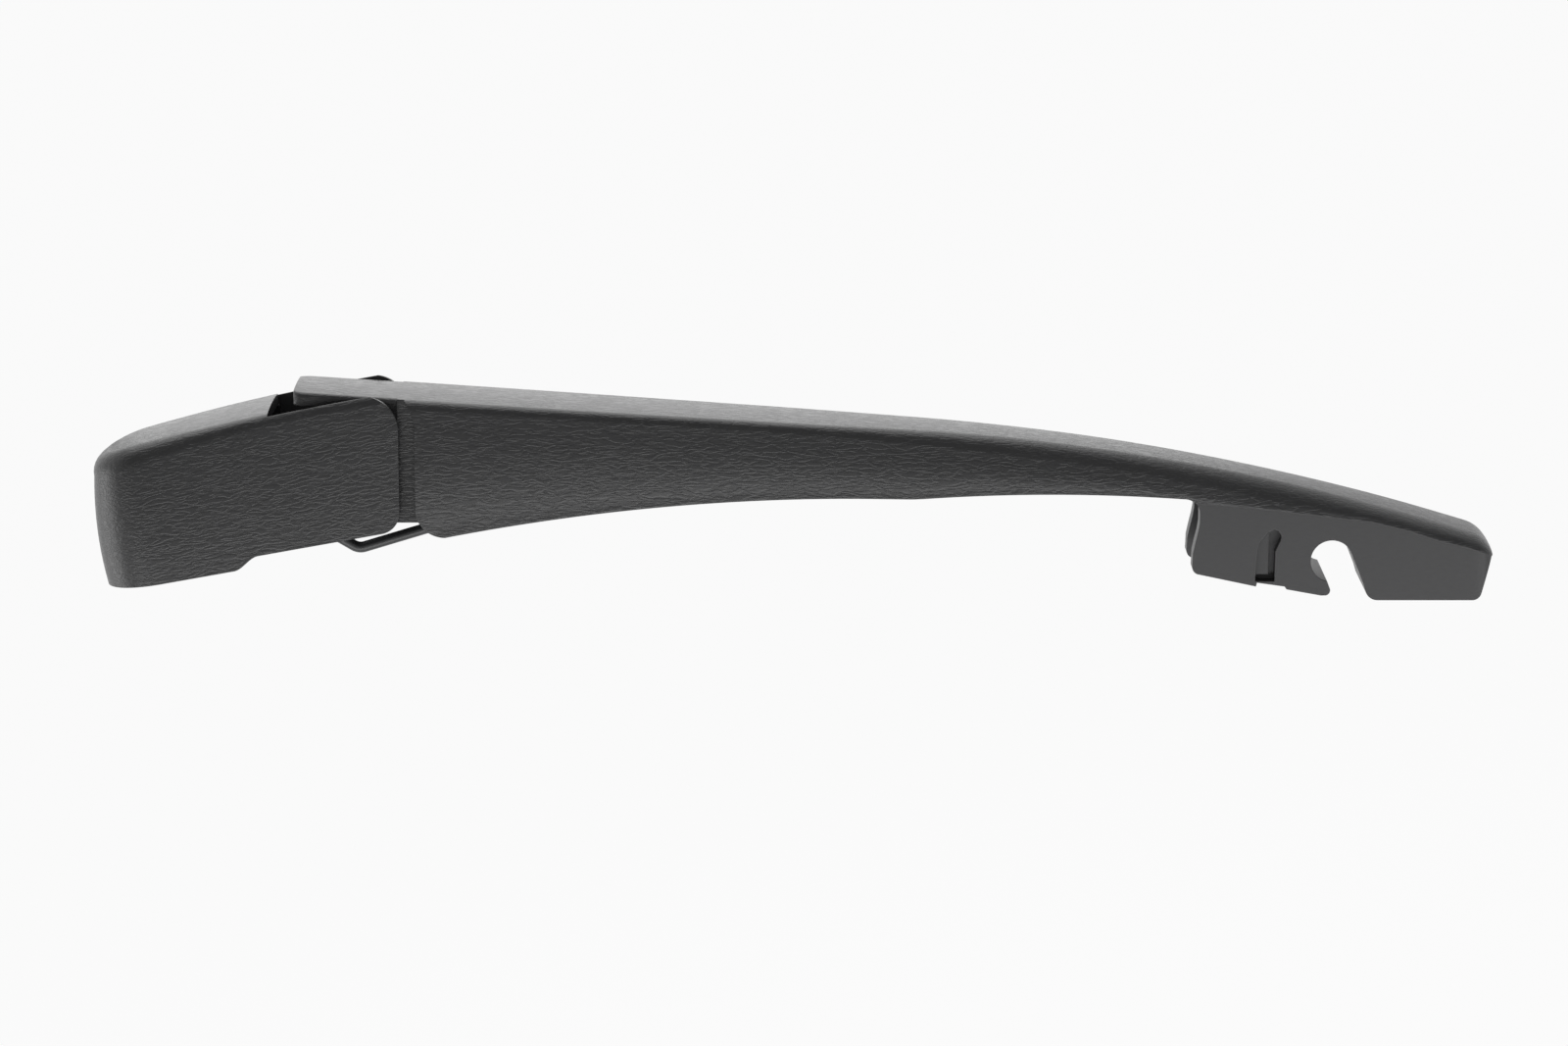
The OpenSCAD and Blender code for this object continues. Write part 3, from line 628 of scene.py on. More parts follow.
# %% Grain line, waist and channel
GRAIN_LINE = [(169, -13.5), (184.7, -15), (206.9, -17.7), (215, -19.8), (221.1, -21.8),
              (227.2, -23.3), (236, -26.6)]
ARM_ROOF = 2.3
ARM_WALL = 2.4
FORK_WALL = 1.7
FORK_INNER = 7.1
HOLDER_WALL = 4.4
CHANNEL_START = SHOULDER_X + 2.5


def grain_line(x):
    """Height at which the grain stops."""
    for (x0, z0), (x1, z1) in zip(GRAIN_LINE, GRAIN_LINE[1:]):
        if x <= x1:
            return z0 + (z1 - z0) * (x - x0) / (x1 - x0)
    return GRAIN_LINE[-1][1]


def arm_waist(x):
    """Height at which the flank stops leaning: just above the lower edge, or atop the holder."""
    line = arm_hump(x) - LEVEL_DROP
    if x > HOLDER_START:
        line = min(line, grain_line(x), arm_top(x) - 0.5)
    return max(arm_foot(x) + 0.5, line)


def channel_half(x):
    """Half width of the channel underneath."""
    if x < CHANNEL_START:
        return min(FORK_INNER, arm_half(x) - FORK_WALL)
    if x < HOLDER_START - 2:
        return arm_half(x) - ARM_WALL - arm_draft(x) * (arm_top(x) - arm_foot(x))
    return max(arm_half(x) - HOLDER_WALL, arm_half(x) / 2)


print("grain stops at", round(grain_line(SEAT_X), 1), "mm over the seat")

# %% [markdown]
# ## The arm's moulding
# Each station gives a ring: up one flank, round the top edge, over the slightly crowned top and
# down the other flank, then back along the channel inside. The flanks get a few rows of their own:
# they swell a little halfway up and tuck in at the foot, so that light runs evenly down them. Past
# the blade pin's seat the moulding is solid, so there the inner half of the ring lies flat on the
# lower edge.

# %% Sections of the arm
FLANK_ROWS = 8
FLANK_CROWN = 1.7
FLANK_TUCK = 0.035
FLANK_SWELL = 0.02
FILLET_ROWS = 12
TOP_ROWS = 6
CHANNEL_R = 1.2
CHANNEL_LEAN = 0.4
CHANNEL_WALL_ROWS = 5
CHANNEL_CORNER_ROWS = 6


def outer_half_section(x, inset=0.0, reach_down=0.0):
    """Points from one lower edge over the top to the other, with the flanks set in by inset."""
    top, foot, waist, lean = arm_top(x), arm_foot(x), arm_waist(x), arm_draft(x)
    low = arm_half(x) - inset
    mid = low - (lean * (waist - foot) if waist < foot + 1 else 0)
    r = min(arm_edge(x), 0.8 * mid)
    rise = min(arm_edge(x), 0.9 * (top - waist))
    half = mid - lean * (top - rise - waist)
    crown = min(0.5, 0.03 * (half - r))
    tall = top - rise - waist
    curved = 0 if x < NECK_END else tall
    side = [(low - FLANK_TUCK * curved, foot - reach_down)]
    for t in [i / FLANK_ROWS for i in range(FLANK_ROWS)]:
        swell = FLANK_SWELL * math.sin(math.pi * t) - FLANK_TUCK * (1 - t) ** 2
        side.append((mid + (half - mid) * t ** FLANK_CROWN + curved * swell, waist + tall * t))
    side += [(half - r + r * math.cos(a), top - rise + rise * math.sin(a))
             for a in [math.radians(90 * i / FILLET_ROWS) for i in range(FILLET_ROWS + 1)]]
    over = [(half - r) * (1 - 2 * i / TOP_ROWS) for i in range(1, TOP_ROWS)]
    middle = [(y, top + crown * (1 - (y / max(half - r, 0.01)) ** 2)) for y in over]
    near = [(x, -y, z) for y, z in side + middle]
    return near + [(x, y, z) for y, z in reversed(side)]


def inner_half_section(x, is_solid, count):
    """As many points along the channel, or flat on the lower edge where the arm is solid."""
    half, foot = channel_half(x), arm_foot(x)
    if is_solid:
        last = count - 1
        return [(x, half * (2 * i / last - 1), foot + 0.3 * math.sin(math.pi * i / last))
                for i in range(count)]
    r, roof, rows = CHANNEL_R, arm_top(x) - ARM_ROOF, CHANNEL_WALL_ROWS
    lean = 0 if x < CHANNEL_START else CHANNEL_LEAN
    wall = [(half - lean * i / rows, foot + (roof - r - foot) * i / rows) for i in range(rows)]
    wall += arc(half - lean - r, roof - r, r, 0, 90, CHANNEL_CORNER_ROWS)
    left = (count - 1) // 2 - len(wall)
    wall += [((half - lean - r) * (1 - (i + 1) / (left + 1)), roof) for i in range(left)]
    near = [(x, -y, z) for y, z in wall]
    return near + [(x, 0, roof)] + [(x, y, z) for y, z in reversed(wall)]


print("points in half a ring:", len(outer_half_section(SEAT_X)))

# %% Loft the arm
WEB_X = SEAT_X - 10
TAIL_STEPS = 8
TIP_END = 6
TIP_STEPS = 18


def spread(start, end, step):
    """Even stations from start to end, about a step apart."""
    count = max(1, round((end - start) / step))
    return [start + (end - start) * i / count for i in range(count + 1)]


def tip_stations(count):
    """The first stations of the rounded tip, ever closer to each other."""
    turns = [math.radians(90 * i / TIP_STEPS) for i in range(count)]
    return [ARM_L - TIP_END + TIP_END * math.sin(a) for a in turns]


def arm_stations():
    """Stations along the arm, each with a mark that says where it is solid."""
    turns = [math.radians(90 * i / TAIL_STEPS) for i in range(TAIL_STEPS + 1)]
    hollow = [-TONGUE_L + TAIL_ROUND * (1 - math.cos(a)) for a in turns]
    hollow += [-6, 0, 5, NECK_END - 0.1, NECK_END + 0.1, SHOULDER_X - 0.5, SHOULDER_X + 0.9]
    hollow += spread(SHOULDER_X + 2.4, SLENDER_END, 2.2) + spread(DEEP_START, WEB_X, 2.2)
    full = [WEB_X + 0.6] + spread(WEB_X + 2.5, ARM_L - 8, 2) + tip_stations(TIP_STEPS + 1)
    return [(x, False) for x in hollow] + [(x, True) for x in full]


def arm_ring(x, is_solid):
    """Closed ring of the arm at a station."""
    outer = outer_half_section(x)
    return outer + inner_half_section(x, is_solid, len(outer))[::-1]


arm = loft("arm_moulding", [arm_ring(x, is_solid) for x, is_solid in arm_stations()])
round_edges(arm, width=0.35, segments=2, sharper_than=50)
print("arm loft:", len(arm.data.polygons), "faces")

# %% [markdown]
# ## Rooms, bores and the blade holder
# The neck is narrower than the arm, so that the cap's cheeks can pass: two side views cut it back
# behind the curved shoulders. A third view frees the tongue and rounds the fork's ears about the
# pivot. At the blade end a round seat with a flared mouth takes the blade's pin, a notch in the
# lower edge ends the rear hook, and a window on each side takes the blade's latch. All these could
# be drawn into the loft, but cut afterwards each one stays a few numbers that are easy to change.

# %% Side views at the shoulder and the fork
NECK_DROP = 17.8
FORK_R = 7.4
TONGUE_T = 1.9
OUT = 30
FAR = 2 * OUT
neck_meet = math.degrees(math.asin((SHOULDER_R - SHOULDER_DROP + NECK_DROP) / SHOULDER_R))


def shoulder_arc(start, end, steps):
    """Part of the shoulder's rounded lower corner, with its angles in degrees."""
    x, z = SHOULDER_X + SHOULDER_R, SHOULDER_R - SHOULDER_DROP
    return arc(x, z, SHOULDER_R, start, end, steps)


def shoulder_room():
    """Side view of the room for a cheek, left of the curved shoulder."""
    r, z = 9, 2
    left = [(-OUT, OUT), (SHOULDER_X - 2.4, OUT), (SHOULDER_X - 2.4, z + 7)]
    bulge = arc(SHOULDER_X - r, z, r, 38, 0, 14)
    toe = shoulder_arc(180, 180 + neck_meet, 8)
    low = -NECK_DROP - 0.5
    return left + bulge + toe + [(SHOULDER_X + 0.8, low), (-OUT, low)]


def fork_room():
    """Side view of what is cut behind the fork's ears, under the neck and round the corner."""
    roof, low = TOP_RISE - TONGUE_T, 5
    ears = arc(0, 0, FORK_R, 135, 235, 28)
    toe = arc(low + 1, -NECK_DROP + low, low, 190, 270, 12)
    lower_corner = shoulder_arc(180 + neck_meet, 270, 14)
    return [(-OUT, roof), (-FORK_R * 0.75, roof)] + ears + toe + lower_corner + [
        (SHOULDER_X + SHOULDER_R, -FAR), (-OUT, -FAR)]


print("the neck meets the shoulder's corner at", round(neck_meet, 1), "degrees")

# %% Side views at the blade holder
WINDOW_X = SEAT_X - 15.7
WINDOW_Z = -SEAT_DROP - 3.7
WINDOW_W = 5.2
WINDOW_DEEP = 1.6


def holder_room():
    """Side view of all that is cut behind and under the holder, the seat's mouth and the tip."""
    rear, back = HOLDER_START, HOLDER_START - 9.5
    hook, sole = SEAT_X - 1.5, -HEEL_DROP + 2.2
    flare, tip = math.radians(22), -SEAT_DROP + 0.6
    return [
        *[(x, arm_slender(x)) for x in spread(back, rear - 2, 0.75)],
        *arc(rear - 1.9, arm_slender(rear - 2) - 3.2, 3.2, 88, 0, 14),
        (rear + 1.3, -18), (rear + 1, -19.8), (rear + 0.4, -22.4), (rear, -24.4),
        *arc(rear + 1.5, -27.2, 1.6, 170, 255, 8),
        (SEAT_X - 15.5, sole + 0.7), (SEAT_X - 15.3, sole + 1.5), (SEAT_X - 9.6, sole + 0.7),
        (SEAT_X - 9.2, sole + 0.1), (hook - 0.6, sole - 1.2),
        *arc(hook + 0.2, sole - 0.1, 1.1, -80, 15, 10),
        (SEAT_X - 0.9, -SEAT_DROP - 4.2), (SEAT_X - 0.9, -SEAT_DROP), (SEAT_X, -SEAT_DROP),
        (SEAT_X + SEAT_D / 2 * math.cos(flare), -SEAT_DROP + SEAT_D / 2 * math.sin(flare)),
        (SEAT_X + 6.7, -SEAT_DROP - 5),
        *arc(SEAT_X + 9.6, -HEEL_DROP + 2.6, 2.6, 200, 270, 10),
        *arc(ARM_L - 4.2, -HEEL_DROP + 1.9, 1.9, 270, 345, 10),
        (ARM_L - 0.3, tip), (ARM_L + 5, tip), (ARM_L + 5, -FAR), (back, -FAR),
    ]


def window_view(start):
    """Side view of a latch window, or of the deeper slot along its front."""
    x, z = WINDOW_X, WINDOW_Z
    lean = [(x + start, z + 9.7)]
    if start == 0:
        lean = [(x + 0.3, z + 6.1), (x + 0.8, z + 7.7), (x + 2.4, z + 9.7)]
    nook = arc(x + WINDOW_W - 1.7, z + 8.7, 1.7, 80, -30, 14)
    front = x + WINDOW_W - 1.2
    return [(x + start, z)] + lean + nook + [(front, z + 5.6), (front, z)]


def window(side):
    """The three cuts of a latch window in one flank of the holder."""
    face, x, z = side * TIP_W / 2, WINDOW_X, WINDOW_Z
    depths = (WINDOW_DEEP, 1.7 * WINDOW_DEEP, 2 * WINDOW_DEEP)
    shallow, deep, sill = [sorted((face - d, face + d)) for d in depths]
    return [
        side_view("window_slot", window_view(0), *shallow),
        side_view("window_front", window_view(WINDOW_W - 2.4), *deep),
        block("window_sill", (x, sill[0], z - 0.6), (x + WINDOW_W - 1.2, sill[1], z + 0.6)),
    ]


print("points in the holder's side view:", len(holder_room()))

# %% Cut the arm
PIVOT_PIN_D = 6
PIN_FIT = 0.1
EAR_R = 6.2
SIDE_FIT = 0.3
ANCHOR_X = 70
ANCHOR_DROP = 5.2
SPRING_PIN_D = 3
SPRING_PIN_L = 14.6
POCKET_HALF = 5.9


def anchor_rib(side):
    """Rib under the roof that carries one end of the spring's cross pin."""
    inside, outside, reach = 4.5, 6.3, 5.5
    y0, y1 = sorted((side * inside, side * outside))
    low = -ANCHOR_DROP - SPRING_PIN_D / 2 - 1.6
    high = arm_top(ANCHOR_X) - ARM_ROOF / 2 - 0.4
    return block("rib", (ANCHOR_X - reach, y0, low), (ANCHOR_X + reach, y1, high))


combine(arm, [anchor_rib(side) for side in (-1, 1)], "UNION")
rooms = []
for side in (-1, 1):
    y0, y1 = sorted((side * (NECK_W / 2 + 0.05), side * FAR))
    rooms.append(side_view("shoulder_room", shoulder_room(), y0, y1))
    rooms += window(side)
rooms.append(side_view("fork_room", fork_room(), -FAR, FAR))
rooms.append(cross_pin("ear_room", 0, 0, 2 * (EAR_R + SIDE_FIT), 2 * FORK_INNER))
rooms.append(cross_pin("pivot_bore", 0, 0, PIVOT_PIN_D + PIN_FIT, FAR))
rooms.append(cross_pin("anchor_bore", ANCHOR_X, -ANCHOR_DROP, SPRING_PIN_D, SPRING_PIN_L))
rooms.append(cross_pin("seat", SEAT_X, -SEAT_DROP, SEAT_D, FAR))
rooms.append(side_view("holder_room", holder_room(), -OUT, OUT))
rooms.append(block("heel_pocket", (SEAT_X + 14, -POCKET_HALF, -HEEL_DROP - 3),
                   (ARM_L - TIP_END, POCKET_HALF, -HEEL_DROP + 7)))
combine(arm, rooms)
print("arm after cuts:", len(arm.data.polygons), "faces")

# %% [markdown]
# ## Where the grain stops
# The etched grain ends on a line that runs from the holder's rear corner to the tip. Below it the
# flank is set in by a third of a millimetre and smooth. The step is cut with a thin skin: a side
# view of the lower region with a slimmer copy of the arm taken out of its middle, so it follows
# the flank's curve to the tip.

# %% Grain step
STEP_IN = 0.3
CORE_REACH = 8
SKIN_HALF = 20
SKIN_LOW = -50


def slim_core():
    """A solid copy of the arm's blade end, set in by the step and reaching below it."""
    stations = spread(HOLDER_START - 6, ARM_L - 8, 2) + tip_stations(TIP_STEPS)
    rings = [outer_half_section(x, STEP_IN, CORE_REACH) for x in stations]
    return loft("core", [ring + [(ring[0][0], 0, ring[0][2])] for ring in rings])


skin_start = HOLDER_START - 1.2
region = [(skin_start, GRAIN_LINE[0][1])] + GRAIN_LINE[1:]
region += [(GRAIN_LINE[-1][0], SKIN_LOW), (skin_start, SKIN_LOW)]
skin = side_view("skin", region, -SKIN_HALF, SKIN_HALF)
combine(skin, [slim_core()])
combine(arm, [skin])
print("step of", STEP_IN, "mm under the grain line")

# %% [markdown]
# ## The arm's finish
# Faces in the channel and under the grain line were never etched. A painted mask would need an
# unwrapped map and would be less sharp, so each face gets its plastic by where its centre lies.

# %% Finish the arm
smooth(arm)
arm.data.materials.append(grain)
arm.data.materials.append(plain)
for face in arm.data.polygons:
    x, y, z = face.center
    under_line = x > HOLDER_START - 1 and z < grain_line(x) - 0.02
    inside = abs(y) < channel_half(x) + 0.05 and z < arm_top(x) - ARM_ROOF + 0.1 and x > 2
    face.material_index = 1 if under_line or inside else 0
arm.matrix_world = ON_ARM
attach(arm, "arm")
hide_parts("arm")

# %% [markdown]
# ## The cover cap
# The cap is a thin moulding with a round nose, a slightly bowed top and two long cheeks that reach
# past the pivot. Its plan is a rounded U. From each plan point the wall rises with a little lean,
# turns over a soft edge and runs with a slight crown to the other side. A block with rounded edges
# would be quicker, but its edges could not turn softer toward the nose. The same body made once
# more with its walls set in gives the hollow. The cheeks' ends and the S-shaped step under them are
# cut as side views, and the notch for the arm's tongue as a block.

# %% Lines of the cap
CAP_W = 26.6
CAP_WALL = 2
NOSE_REACH = 14.6
SKIRT_DEEP = 22.1
SKIRT_SHALLOW = 19.8
SKIRT_L = 31.5
CAP_RISE = 8.95
CAP_TOP_R = 500
NOSE_EDGE_R = 4.6
CHEEK_EDGE_R = 2.4
CAP_TUCK = 0.7
CAP_CROWN = 0.6
NOSE_LEAN = 2.6
SIDE_LEAN = 0.9
CHEEK_REACH = 7.5
NOTCH_BACK = 18.4
NOSE_STEPS = 40
SIDE_STEPS = 26
WALL_ROWS = 10
EDGE_ROWS = 8
ACROSS_ROWS = 10
pivot_x, pivot_z = pivot.x / MM, pivot.z / MM
cap_end = pivot_x + CHEEK_REACH + 3
cap_foot = pivot_z - SKIRT_DEEP


def cap_plan():
    """Plan points and their outward directions, from one cheek round the nose to the other."""
    r = CAP_W / 2
    c = r - NOSE_REACH
    sides = [cap_end + (c - cap_end) * i / SIDE_STEPS for i in range(SIDE_STEPS)]
    turns = [math.radians(270 - 180 * i / NOSE_STEPS) for i in range(NOSE_STEPS + 1)]
    nose = [(c + r * math.cos(a), r * math.sin(a), math.cos(a), math.sin(a)) for a in turns]
    return [(x, -r, 0, -1) for x in sides] + nose + [(x, r, 0, 1) for x in reversed(sides)]


def cap_edge(x):
    """Rounding of the top edge: soft round the nose, tighter along the cheeks."""
    return NOSE_EDGE_R + (CHEEK_EDGE_R - NOSE_EDGE_R) * ease(x, -NOSE_REACH, pivot_x - NOTCH_BACK)


def cap_column(plan_point, inset, drop):
    """Points up the wall and over the edge at one plan point."""
    x, y, nx, ny = plan_point
    edge_r = max(0.4, cap_edge(x) - 0.8 * inset)
    top = pivot_z + CAP_RISE - (x - pivot_x) ** 2 / (2 * CAP_TOP_R) - inset
    column = []
    for k in range(WALL_ROWS + EDGE_ROWS + 1):
        t = min(1, k / WALL_ROWS)
        a = math.radians(90 * max(0, k - WALL_ROWS) / EDGE_ROWS)
        lean = (SIDE_LEAN + (NOSE_LEAN - SIDE_LEAN) * max(0, -nx) ** 2) * t * t
        inward = inset + lean + CAP_TUCK * (1 - t) ** 2 + edge_r * (1 - math.cos(a))
        z = cap_foot + (top - edge_r - cap_foot) * t + edge_r * math.sin(a)
        column.append((x - nx * inward, y - ny * inward, z - (drop if k == 0 else 0)))
    return column


print("plan points of the cap:", len(cap_plan()))

# %% Body of the cap


def cap_body(name, inset, drop):
    """Closed body inside the cap's skin at an inset; its rings have an odd number of points."""
    plan = cap_plan()
    count = len(plan)
    half = count // 2
    rings = []
    for j in range(half):
        near = cap_column(plan[j], inset, drop)
        far = cap_column(plan[count - 1 - j], inset, drop)
        a, b = Vector(near[-1]), Vector(far[-1])
        crown = Vector((0, 0, 4 * CAP_CROWN * (a.y / CAP_W * 2) ** 2))
        shares = [i / ACROSS_ROWS for i in range(1, ACROSS_ROWS)]
        over = [tuple(a.lerp(b, t) + crown * t * (1 - t)) for t in shares]
        rings.append(near + over + far[::-1])
    nose = cap_column(plan[half], inset, drop)
    n = len(rings[0])
    points = [p for ring in rings for p in ring] + nose
    faces = [(j * n + k, j * n + k + 1, (j + 1) * n + k + 1, (j + 1) * n + k)
             for j in range(half - 1) for k in range(n - 1)]
    faces += [(j * n, (j + 1) * n, (j + 1) * n + n - 1, j * n + n - 1) for j in range(half - 1)]
    tip, last = half * n, (half - 1) * n
    rise = len(nose) - 1
    faces += [(last + k, last + k + 1, tip + k + 1, tip + k) for k in range(rise)]
    faces += [(last + n - 1 - k, tip + k, tip + k + 1, last + n - 2 - k) for k in range(rise)]
    faces += [tuple([tip + rise] + [last + rise + k for k in range(ACROSS_ROWS, -1, -1)])]
    faces += [(last, tip, last + n - 1)]
    middle = n // 2
    faces += [(k, n - 1 - k, n - 2 - k, k + 1) for k in range(middle - 1)]
    faces += [(middle - 1, middle + 1, middle)]
    return solid(name, points, faces)


cap = cap_body("cap_moulding", 0, 0)
print("cap body:", len(cap.data.polygons), "faces")

# %% Side views that cut the cap


def cheek_end():
    """Side view of everything past the rounded ends of the cheeks."""
    top_r, low_r = 7, 4.5
    lean = math.degrees(ARM_SLOPE)
    tx, tz = pivot_x + CHEEK_REACH - top_r, pivot_z + CAP_RISE - top_r
    fz = pivot_z - SKIRT_SHALLOW + low_r
    fx = tx + (top_r - low_r) / math.cos(ARM_SLOPE) - (tz - fz) * math.tan(ARM_SLOPE)
    upper = arc(tx, tz, top_r, 95, -lean, 24)
    lower = arc(fx, fz, low_r, -lean, -90, 16)
    high, low, past = tz + 30, fz - 30, fx + 80
    return [(tx - 1, high)] + upper + lower + [(fx, low), (past, low), (past, high)]


def skirt_step():
    """Side view of what is cut away under the shallow skirt, with its S-shaped step."""
    rise = SKIRT_DEEP - SKIRT_SHALLOW
    x, reach, steps = SKIRT_L - NOSE_REACH, 2.6, 24
    curve = [(x - reach + 2 * reach * i / steps, cap_foot + rise * ease(i, -0.05 * steps, steps))
             for i in range(steps + 1)]
    low, past = cap_foot - 10, cap_end + 10
    return [(x - reach, low)] + curve + [(past, cap_foot + rise), (past, low)]


print("skirt step at", round(SKIRT_L - NOSE_REACH, 1), "mm from the spindle")

# %% Cut the cap
CHEEK_FIT = 1.9
PAST_CAP = 40
STUD_TIP = NECK_W / 2 - 1.1
combine(cap, [cap_body("hollow", CAP_WALL, 1)])
notch_w = NECK_W + 2 * CHEEK_FIT
cap_inner = CAP_W / 2 - CAP_WALL
past_x = pivot_x + PAST_CAP
combine(cap, [
    side_view("past_cheeks", cheek_end(), -OUT, OUT),
    side_view("under_step", skirt_step(), -OUT, OUT),
    block("notch", (pivot_x - NOTCH_BACK, -notch_w / 2, 0), (past_x, notch_w / 2, PAST_CAP)),
    block("mouth", (pivot_x + CHEEK_REACH - 6, -cap_inner, -PAST_CAP),
          (past_x, cap_inner, PAST_CAP)),
])
for side in (-1, 1):
    stud = cross_pin("stud", pivot_x, pivot_z, PIVOT_PIN_D - PIN_FIT, cap_inner + 0.6 - STUD_TIP)
    collar = cross_pin("collar", pivot_x, pivot_z, PIVOT_PIN_D + 3, 2.4)
    stud.data.transform(Matrix.Translation((0, side * (STUD_TIP + cap_inner + 0.6) / 2, 0)))
    collar.data.transform(Matrix.Translation((0, side * (cap_inner - 0.4), 0)))
    combine(cap, [stud, collar], "UNION")
print("cap after cuts:", len(cap.data.polygons), "faces")

# %% Finish the cap
smooth(cap)
cap.data.materials.append(grain)
cap.data.materials.append(plain)
for face in cap.data.polygons:
    x, y, z = face.center
    from_spine = Vector((min(0, x - (CAP_W / 2 - NOSE_REACH)), y, 0)).normalized()
    ceiling = face.normal.z < -0.5 and z > cap_foot + SKIRT_DEEP - SKIRT_SHALLOW + 1
    face.material_index = 1 if ceiling or face.normal.dot(from_spine) < -0.2 else 0
cap.matrix_world = IN_PLACE
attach(cap, "cap")
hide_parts("cap")

# %% [markdown]
# ## Link and spring
# Both are wire, so both are a round section swept along a path. The link is bent once under the
# pivot and closed into an eye at each end. The spring is a close-wound coil with a loop at each
# end. A curve object could be given a round bevel, but here the section is swept point by point:
# a frame carried along keeps it from twisting, and its faces can be joined to the eyes.

# %% Wire tools
LINK_WIRE = 2.3
COIL_WIRE = 1.4
LINK_PIN_D = 4
CORNER_STEPS = 12
EYE_STEPS = 40
anchor = ON_ARM @ Vector((ANCHOR_X, 0, -ANCHOR_DROP))
pull = (anchor - link_pivot) / MM
PULL_L = pull.length
pull_angle = math.atan2(pull.z, pull.x)
AT_PULL = Matrix.Translation(link_pivot) @ Matrix.Rotation(-pull_angle, 4, "Y") @ IN_PLACE
eye_r = LINK_PIN_D / 2 + 0.15 + LINK_WIRE / 2
hook_eye_r = COIL_WIRE + LINK_WIRE / 2 + 0.5


def sweep(name, path, d, sides, side_start, closed=False):
    """A round wire along a path, with its section carried along without a twist."""
    path = [Vector(p) for p in path]
    m = len(path)
    side = Vector(side_start)
    points = []
    for i, p in enumerate(path):
        ahead = path[(i + 1) % m] if closed else path[min(i + 1, m - 1)]
        behind = path[i - 1] if closed or i else path[0]
        tangent = (ahead - behind).normalized()
        side = (side - tangent * side.dot(tangent)).normalized()
        up = tangent.cross(side)
        for j in range(sides):
            a = 2 * math.pi * j / sides
            points.append(tuple(p + (side * math.cos(a) + up * math.sin(a)) * d / 2))
    faces = [(i * sides + j, i * sides + (j + 1) % sides,
              (i + 1) % m * sides + (j + 1) % sides, (i + 1) % m * sides + j)
             for i in range(m if closed else m - 1) for j in range(sides)]
    if not closed:
        faces += [tuple(range(sides)), tuple(range(m * sides - 1, (m - 1) * sides - 1, -1))]
    return solid(name, points, faces)


def corner(a, b, c, r):
    """A corner at b of a path from a to c, rounded with a radius."""
    u, v = (a - b).normalized(), (c - b).normalized()
    reach = r / math.tan(u.angle(v) / 2)
    return [(1 - t) ** 2 * (b + u * reach) + 2 * t * (1 - t) * b + t * t * (b + v * reach)
            for t in [i / CORNER_STEPS for i in range(CORNER_STEPS + 1)]]


def ring_path(x, r):
    """Centre line of an eye about an axis across the part."""
    turns = [2 * math.pi * i / EYE_STEPS for i in range(EYE_STEPS)]
    return [(x + r * math.cos(a), 0, r * math.sin(a)) for a in turns]


print("the pull runs", round(PULL_L, 1), "mm, eye radius", round(eye_r, 2), "mm")

# %% Link
LINK_L = 50
LINK_BEND_DROP = 24.6
LINK_SIDES = 20
EYE_WIRE = LINK_WIRE + 0.02
bow_x = 14.4
on_line = link_pivot.z / MM + bow_x * math.sin(pull_angle)
bow_depth = (on_line - (pivot_z - LINK_BEND_DROP)) / math.cos(pull_angle)
a, b = Vector((0, 0, 0)), Vector((bow_x, 0, -bow_depth))
c, d = Vector((LINK_L - 10, 0, -bow_depth * 0.6)), Vector((LINK_L, 0, 0))
run = [a + (b - a).normalized() * eye_r] + corner(a, b, c, 3) + corner(b, c, d, 3)
run.append(d + (c - d).normalized() * hook_eye_r)
link = sweep("wire_link", run, LINK_WIRE, LINK_SIDES, across)
for x, r in ((0, eye_r), (LINK_L, hook_eye_r)):
    eye = sweep("eye", ring_path(x, r), EYE_WIRE, LINK_SIDES, across, closed=True)
    combine(link, [eye], "UNION")
smooth(link, 50)
link.data.materials.append(dip_coat)
link.matrix_world = AT_PULL
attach(link, "hook_link")
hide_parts("hook_link")
print("link:", len(link.data.polygons), "faces")

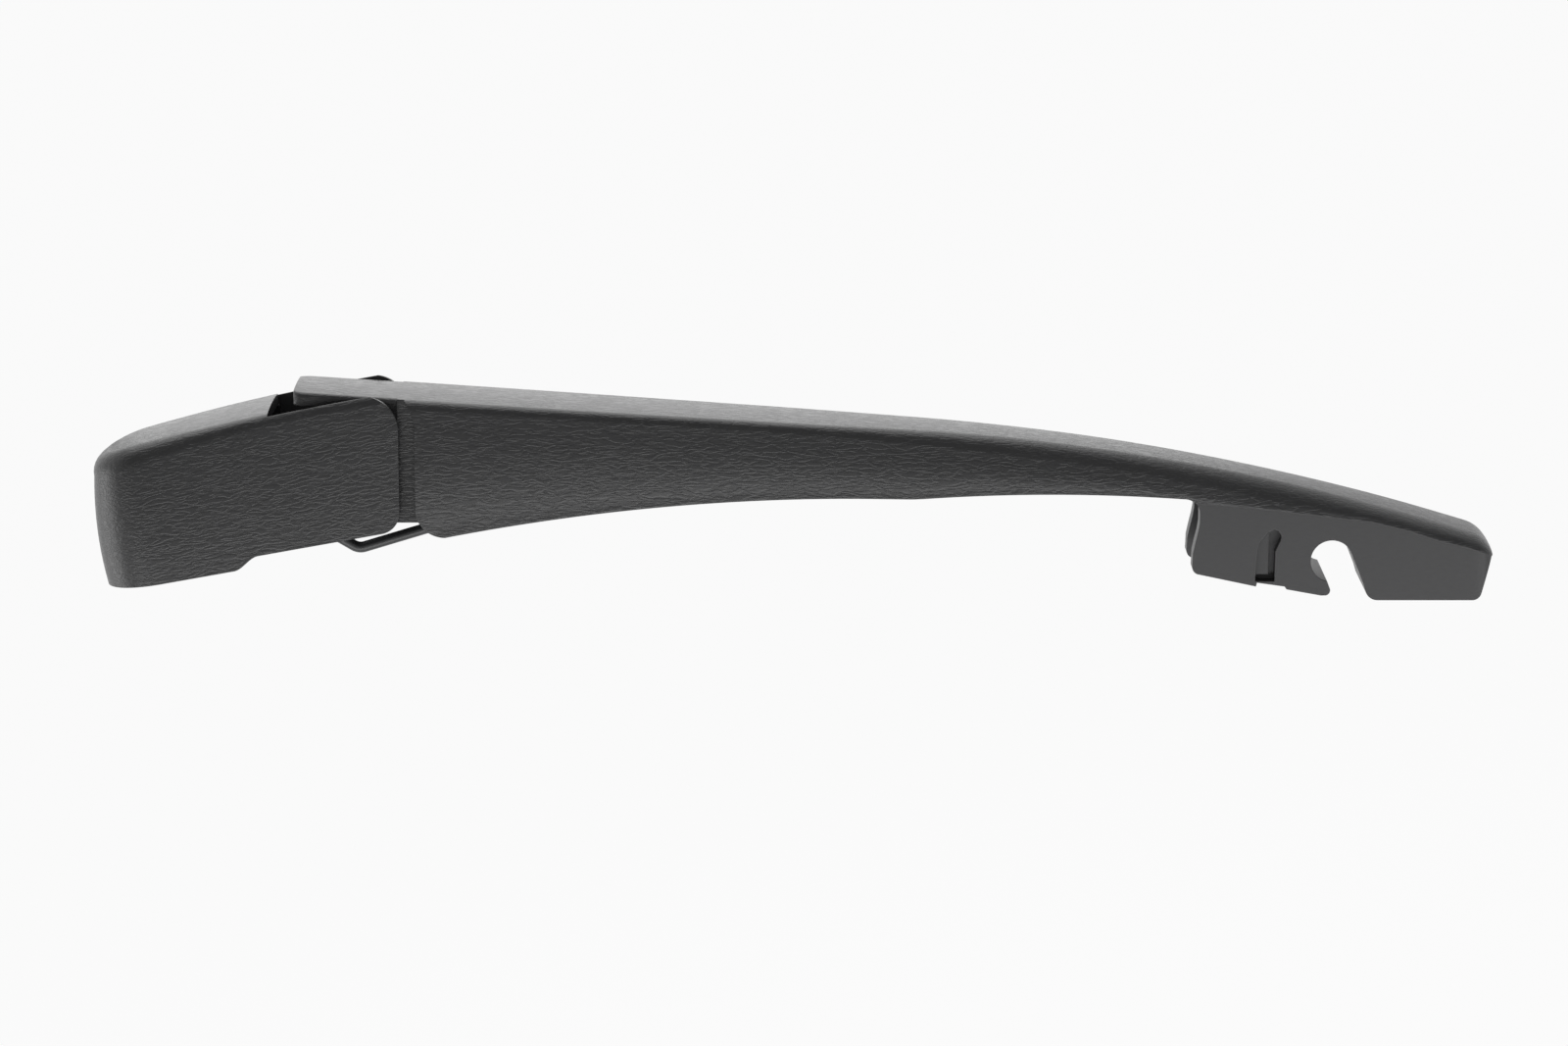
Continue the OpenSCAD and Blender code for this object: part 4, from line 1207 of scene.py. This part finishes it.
# %% Path of the spring
COIL_D = 8.4
TURN_STEPS = 24
LOOP_STEPS = 24
coil_r = (COIL_D - COIL_WIRE) / 2
loop_r = COIL_WIRE + 0.9
near_loop_x = LINK_L + hook_eye_r
coil_start = near_loop_x + loop_r + 3.2
coil_end = PULL_L - SPRING_PIN_D / 2 - COIL_WIRE * 3.2
turns = round((coil_end - coil_start) / (COIL_WIRE + 0.06))
pitch = (coil_end - coil_start) / turns


def bend(p, p_out, q, q_in, n):
    """Smooth bend between two points with given directions, without its end points."""
    return [(1 - t) ** 3 * p + 3 * (1 - t) ** 2 * t * (p + p_out)
            + 3 * (1 - t) * t * t * (q - q_in) + t ** 3 * q
            for t in [i / n for i in range(1, n)]]


def spring_path():
    """Centre line of the spring, from its near loop through the coil to its far loop."""
    near = [Vector((x, y, 0)) for x, y in arc(near_loop_x, 0, loop_r, 50, 310, LOOP_STEPS)]
    far = [Vector((x, 0, z)) for x, z in arc(PULL_L, 0, loop_r, 215, 490, LOOP_STEPS)]
    coil = [Vector((coil_start + pitch * i / TURN_STEPS,
                    coil_r * math.cos(2 * math.pi * i / TURN_STEPS),
                    coil_r * math.sin(2 * math.pi * i / TURN_STEPS)))
            for i in range(turns * TURN_STEPS + 1)]
    near_out = (near[-1] - near[-2]).normalized() * 1.5
    far_in = (far[1] - far[0]).normalized() * 2.2
    lead = bend(near[-1], near_out, coil[0], Vector((0.4, 0, 2.2)), 10)
    tail = bend(coil[-1], Vector((0.4, 0, 2.6)), far[0], far_in, 12)
    return near + lead + coil + tail + far


print("centre line:", len(spring_path()), "points")

# %% Spring
COIL_SIDES = 12
spring = sweep("coil_spring", spring_path(), COIL_WIRE, COIL_SIDES, (0, 0, 1))
smooth(spring, 60)
spring.data.materials.append(phosphate)
spring.matrix_world = AT_PULL
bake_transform(spring)
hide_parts("spring")
print("spring:", turns, "turns at", round(pitch, 2), "mm")

# %% [markdown]
# ## Head and pins
# These came ready made at their true shape, and only need their finish. Their meshes are left as
# they are. Smooth shading by angle keeps the bores round and the machined faces flat.

# %% Finish the head and pins
for name, finish in (("head", cast_zinc), ("pivot_pin", drawn_pin), ("link_pin", drawn_pin),
                     ("spring_pin", drawn_pin)):
    node = frame["nodes"][name]
    node.data.materials.clear()
    node.data.materials.append(finish)
    smooth(node)
print("finished", len(frame["nodes"]), "nodes")
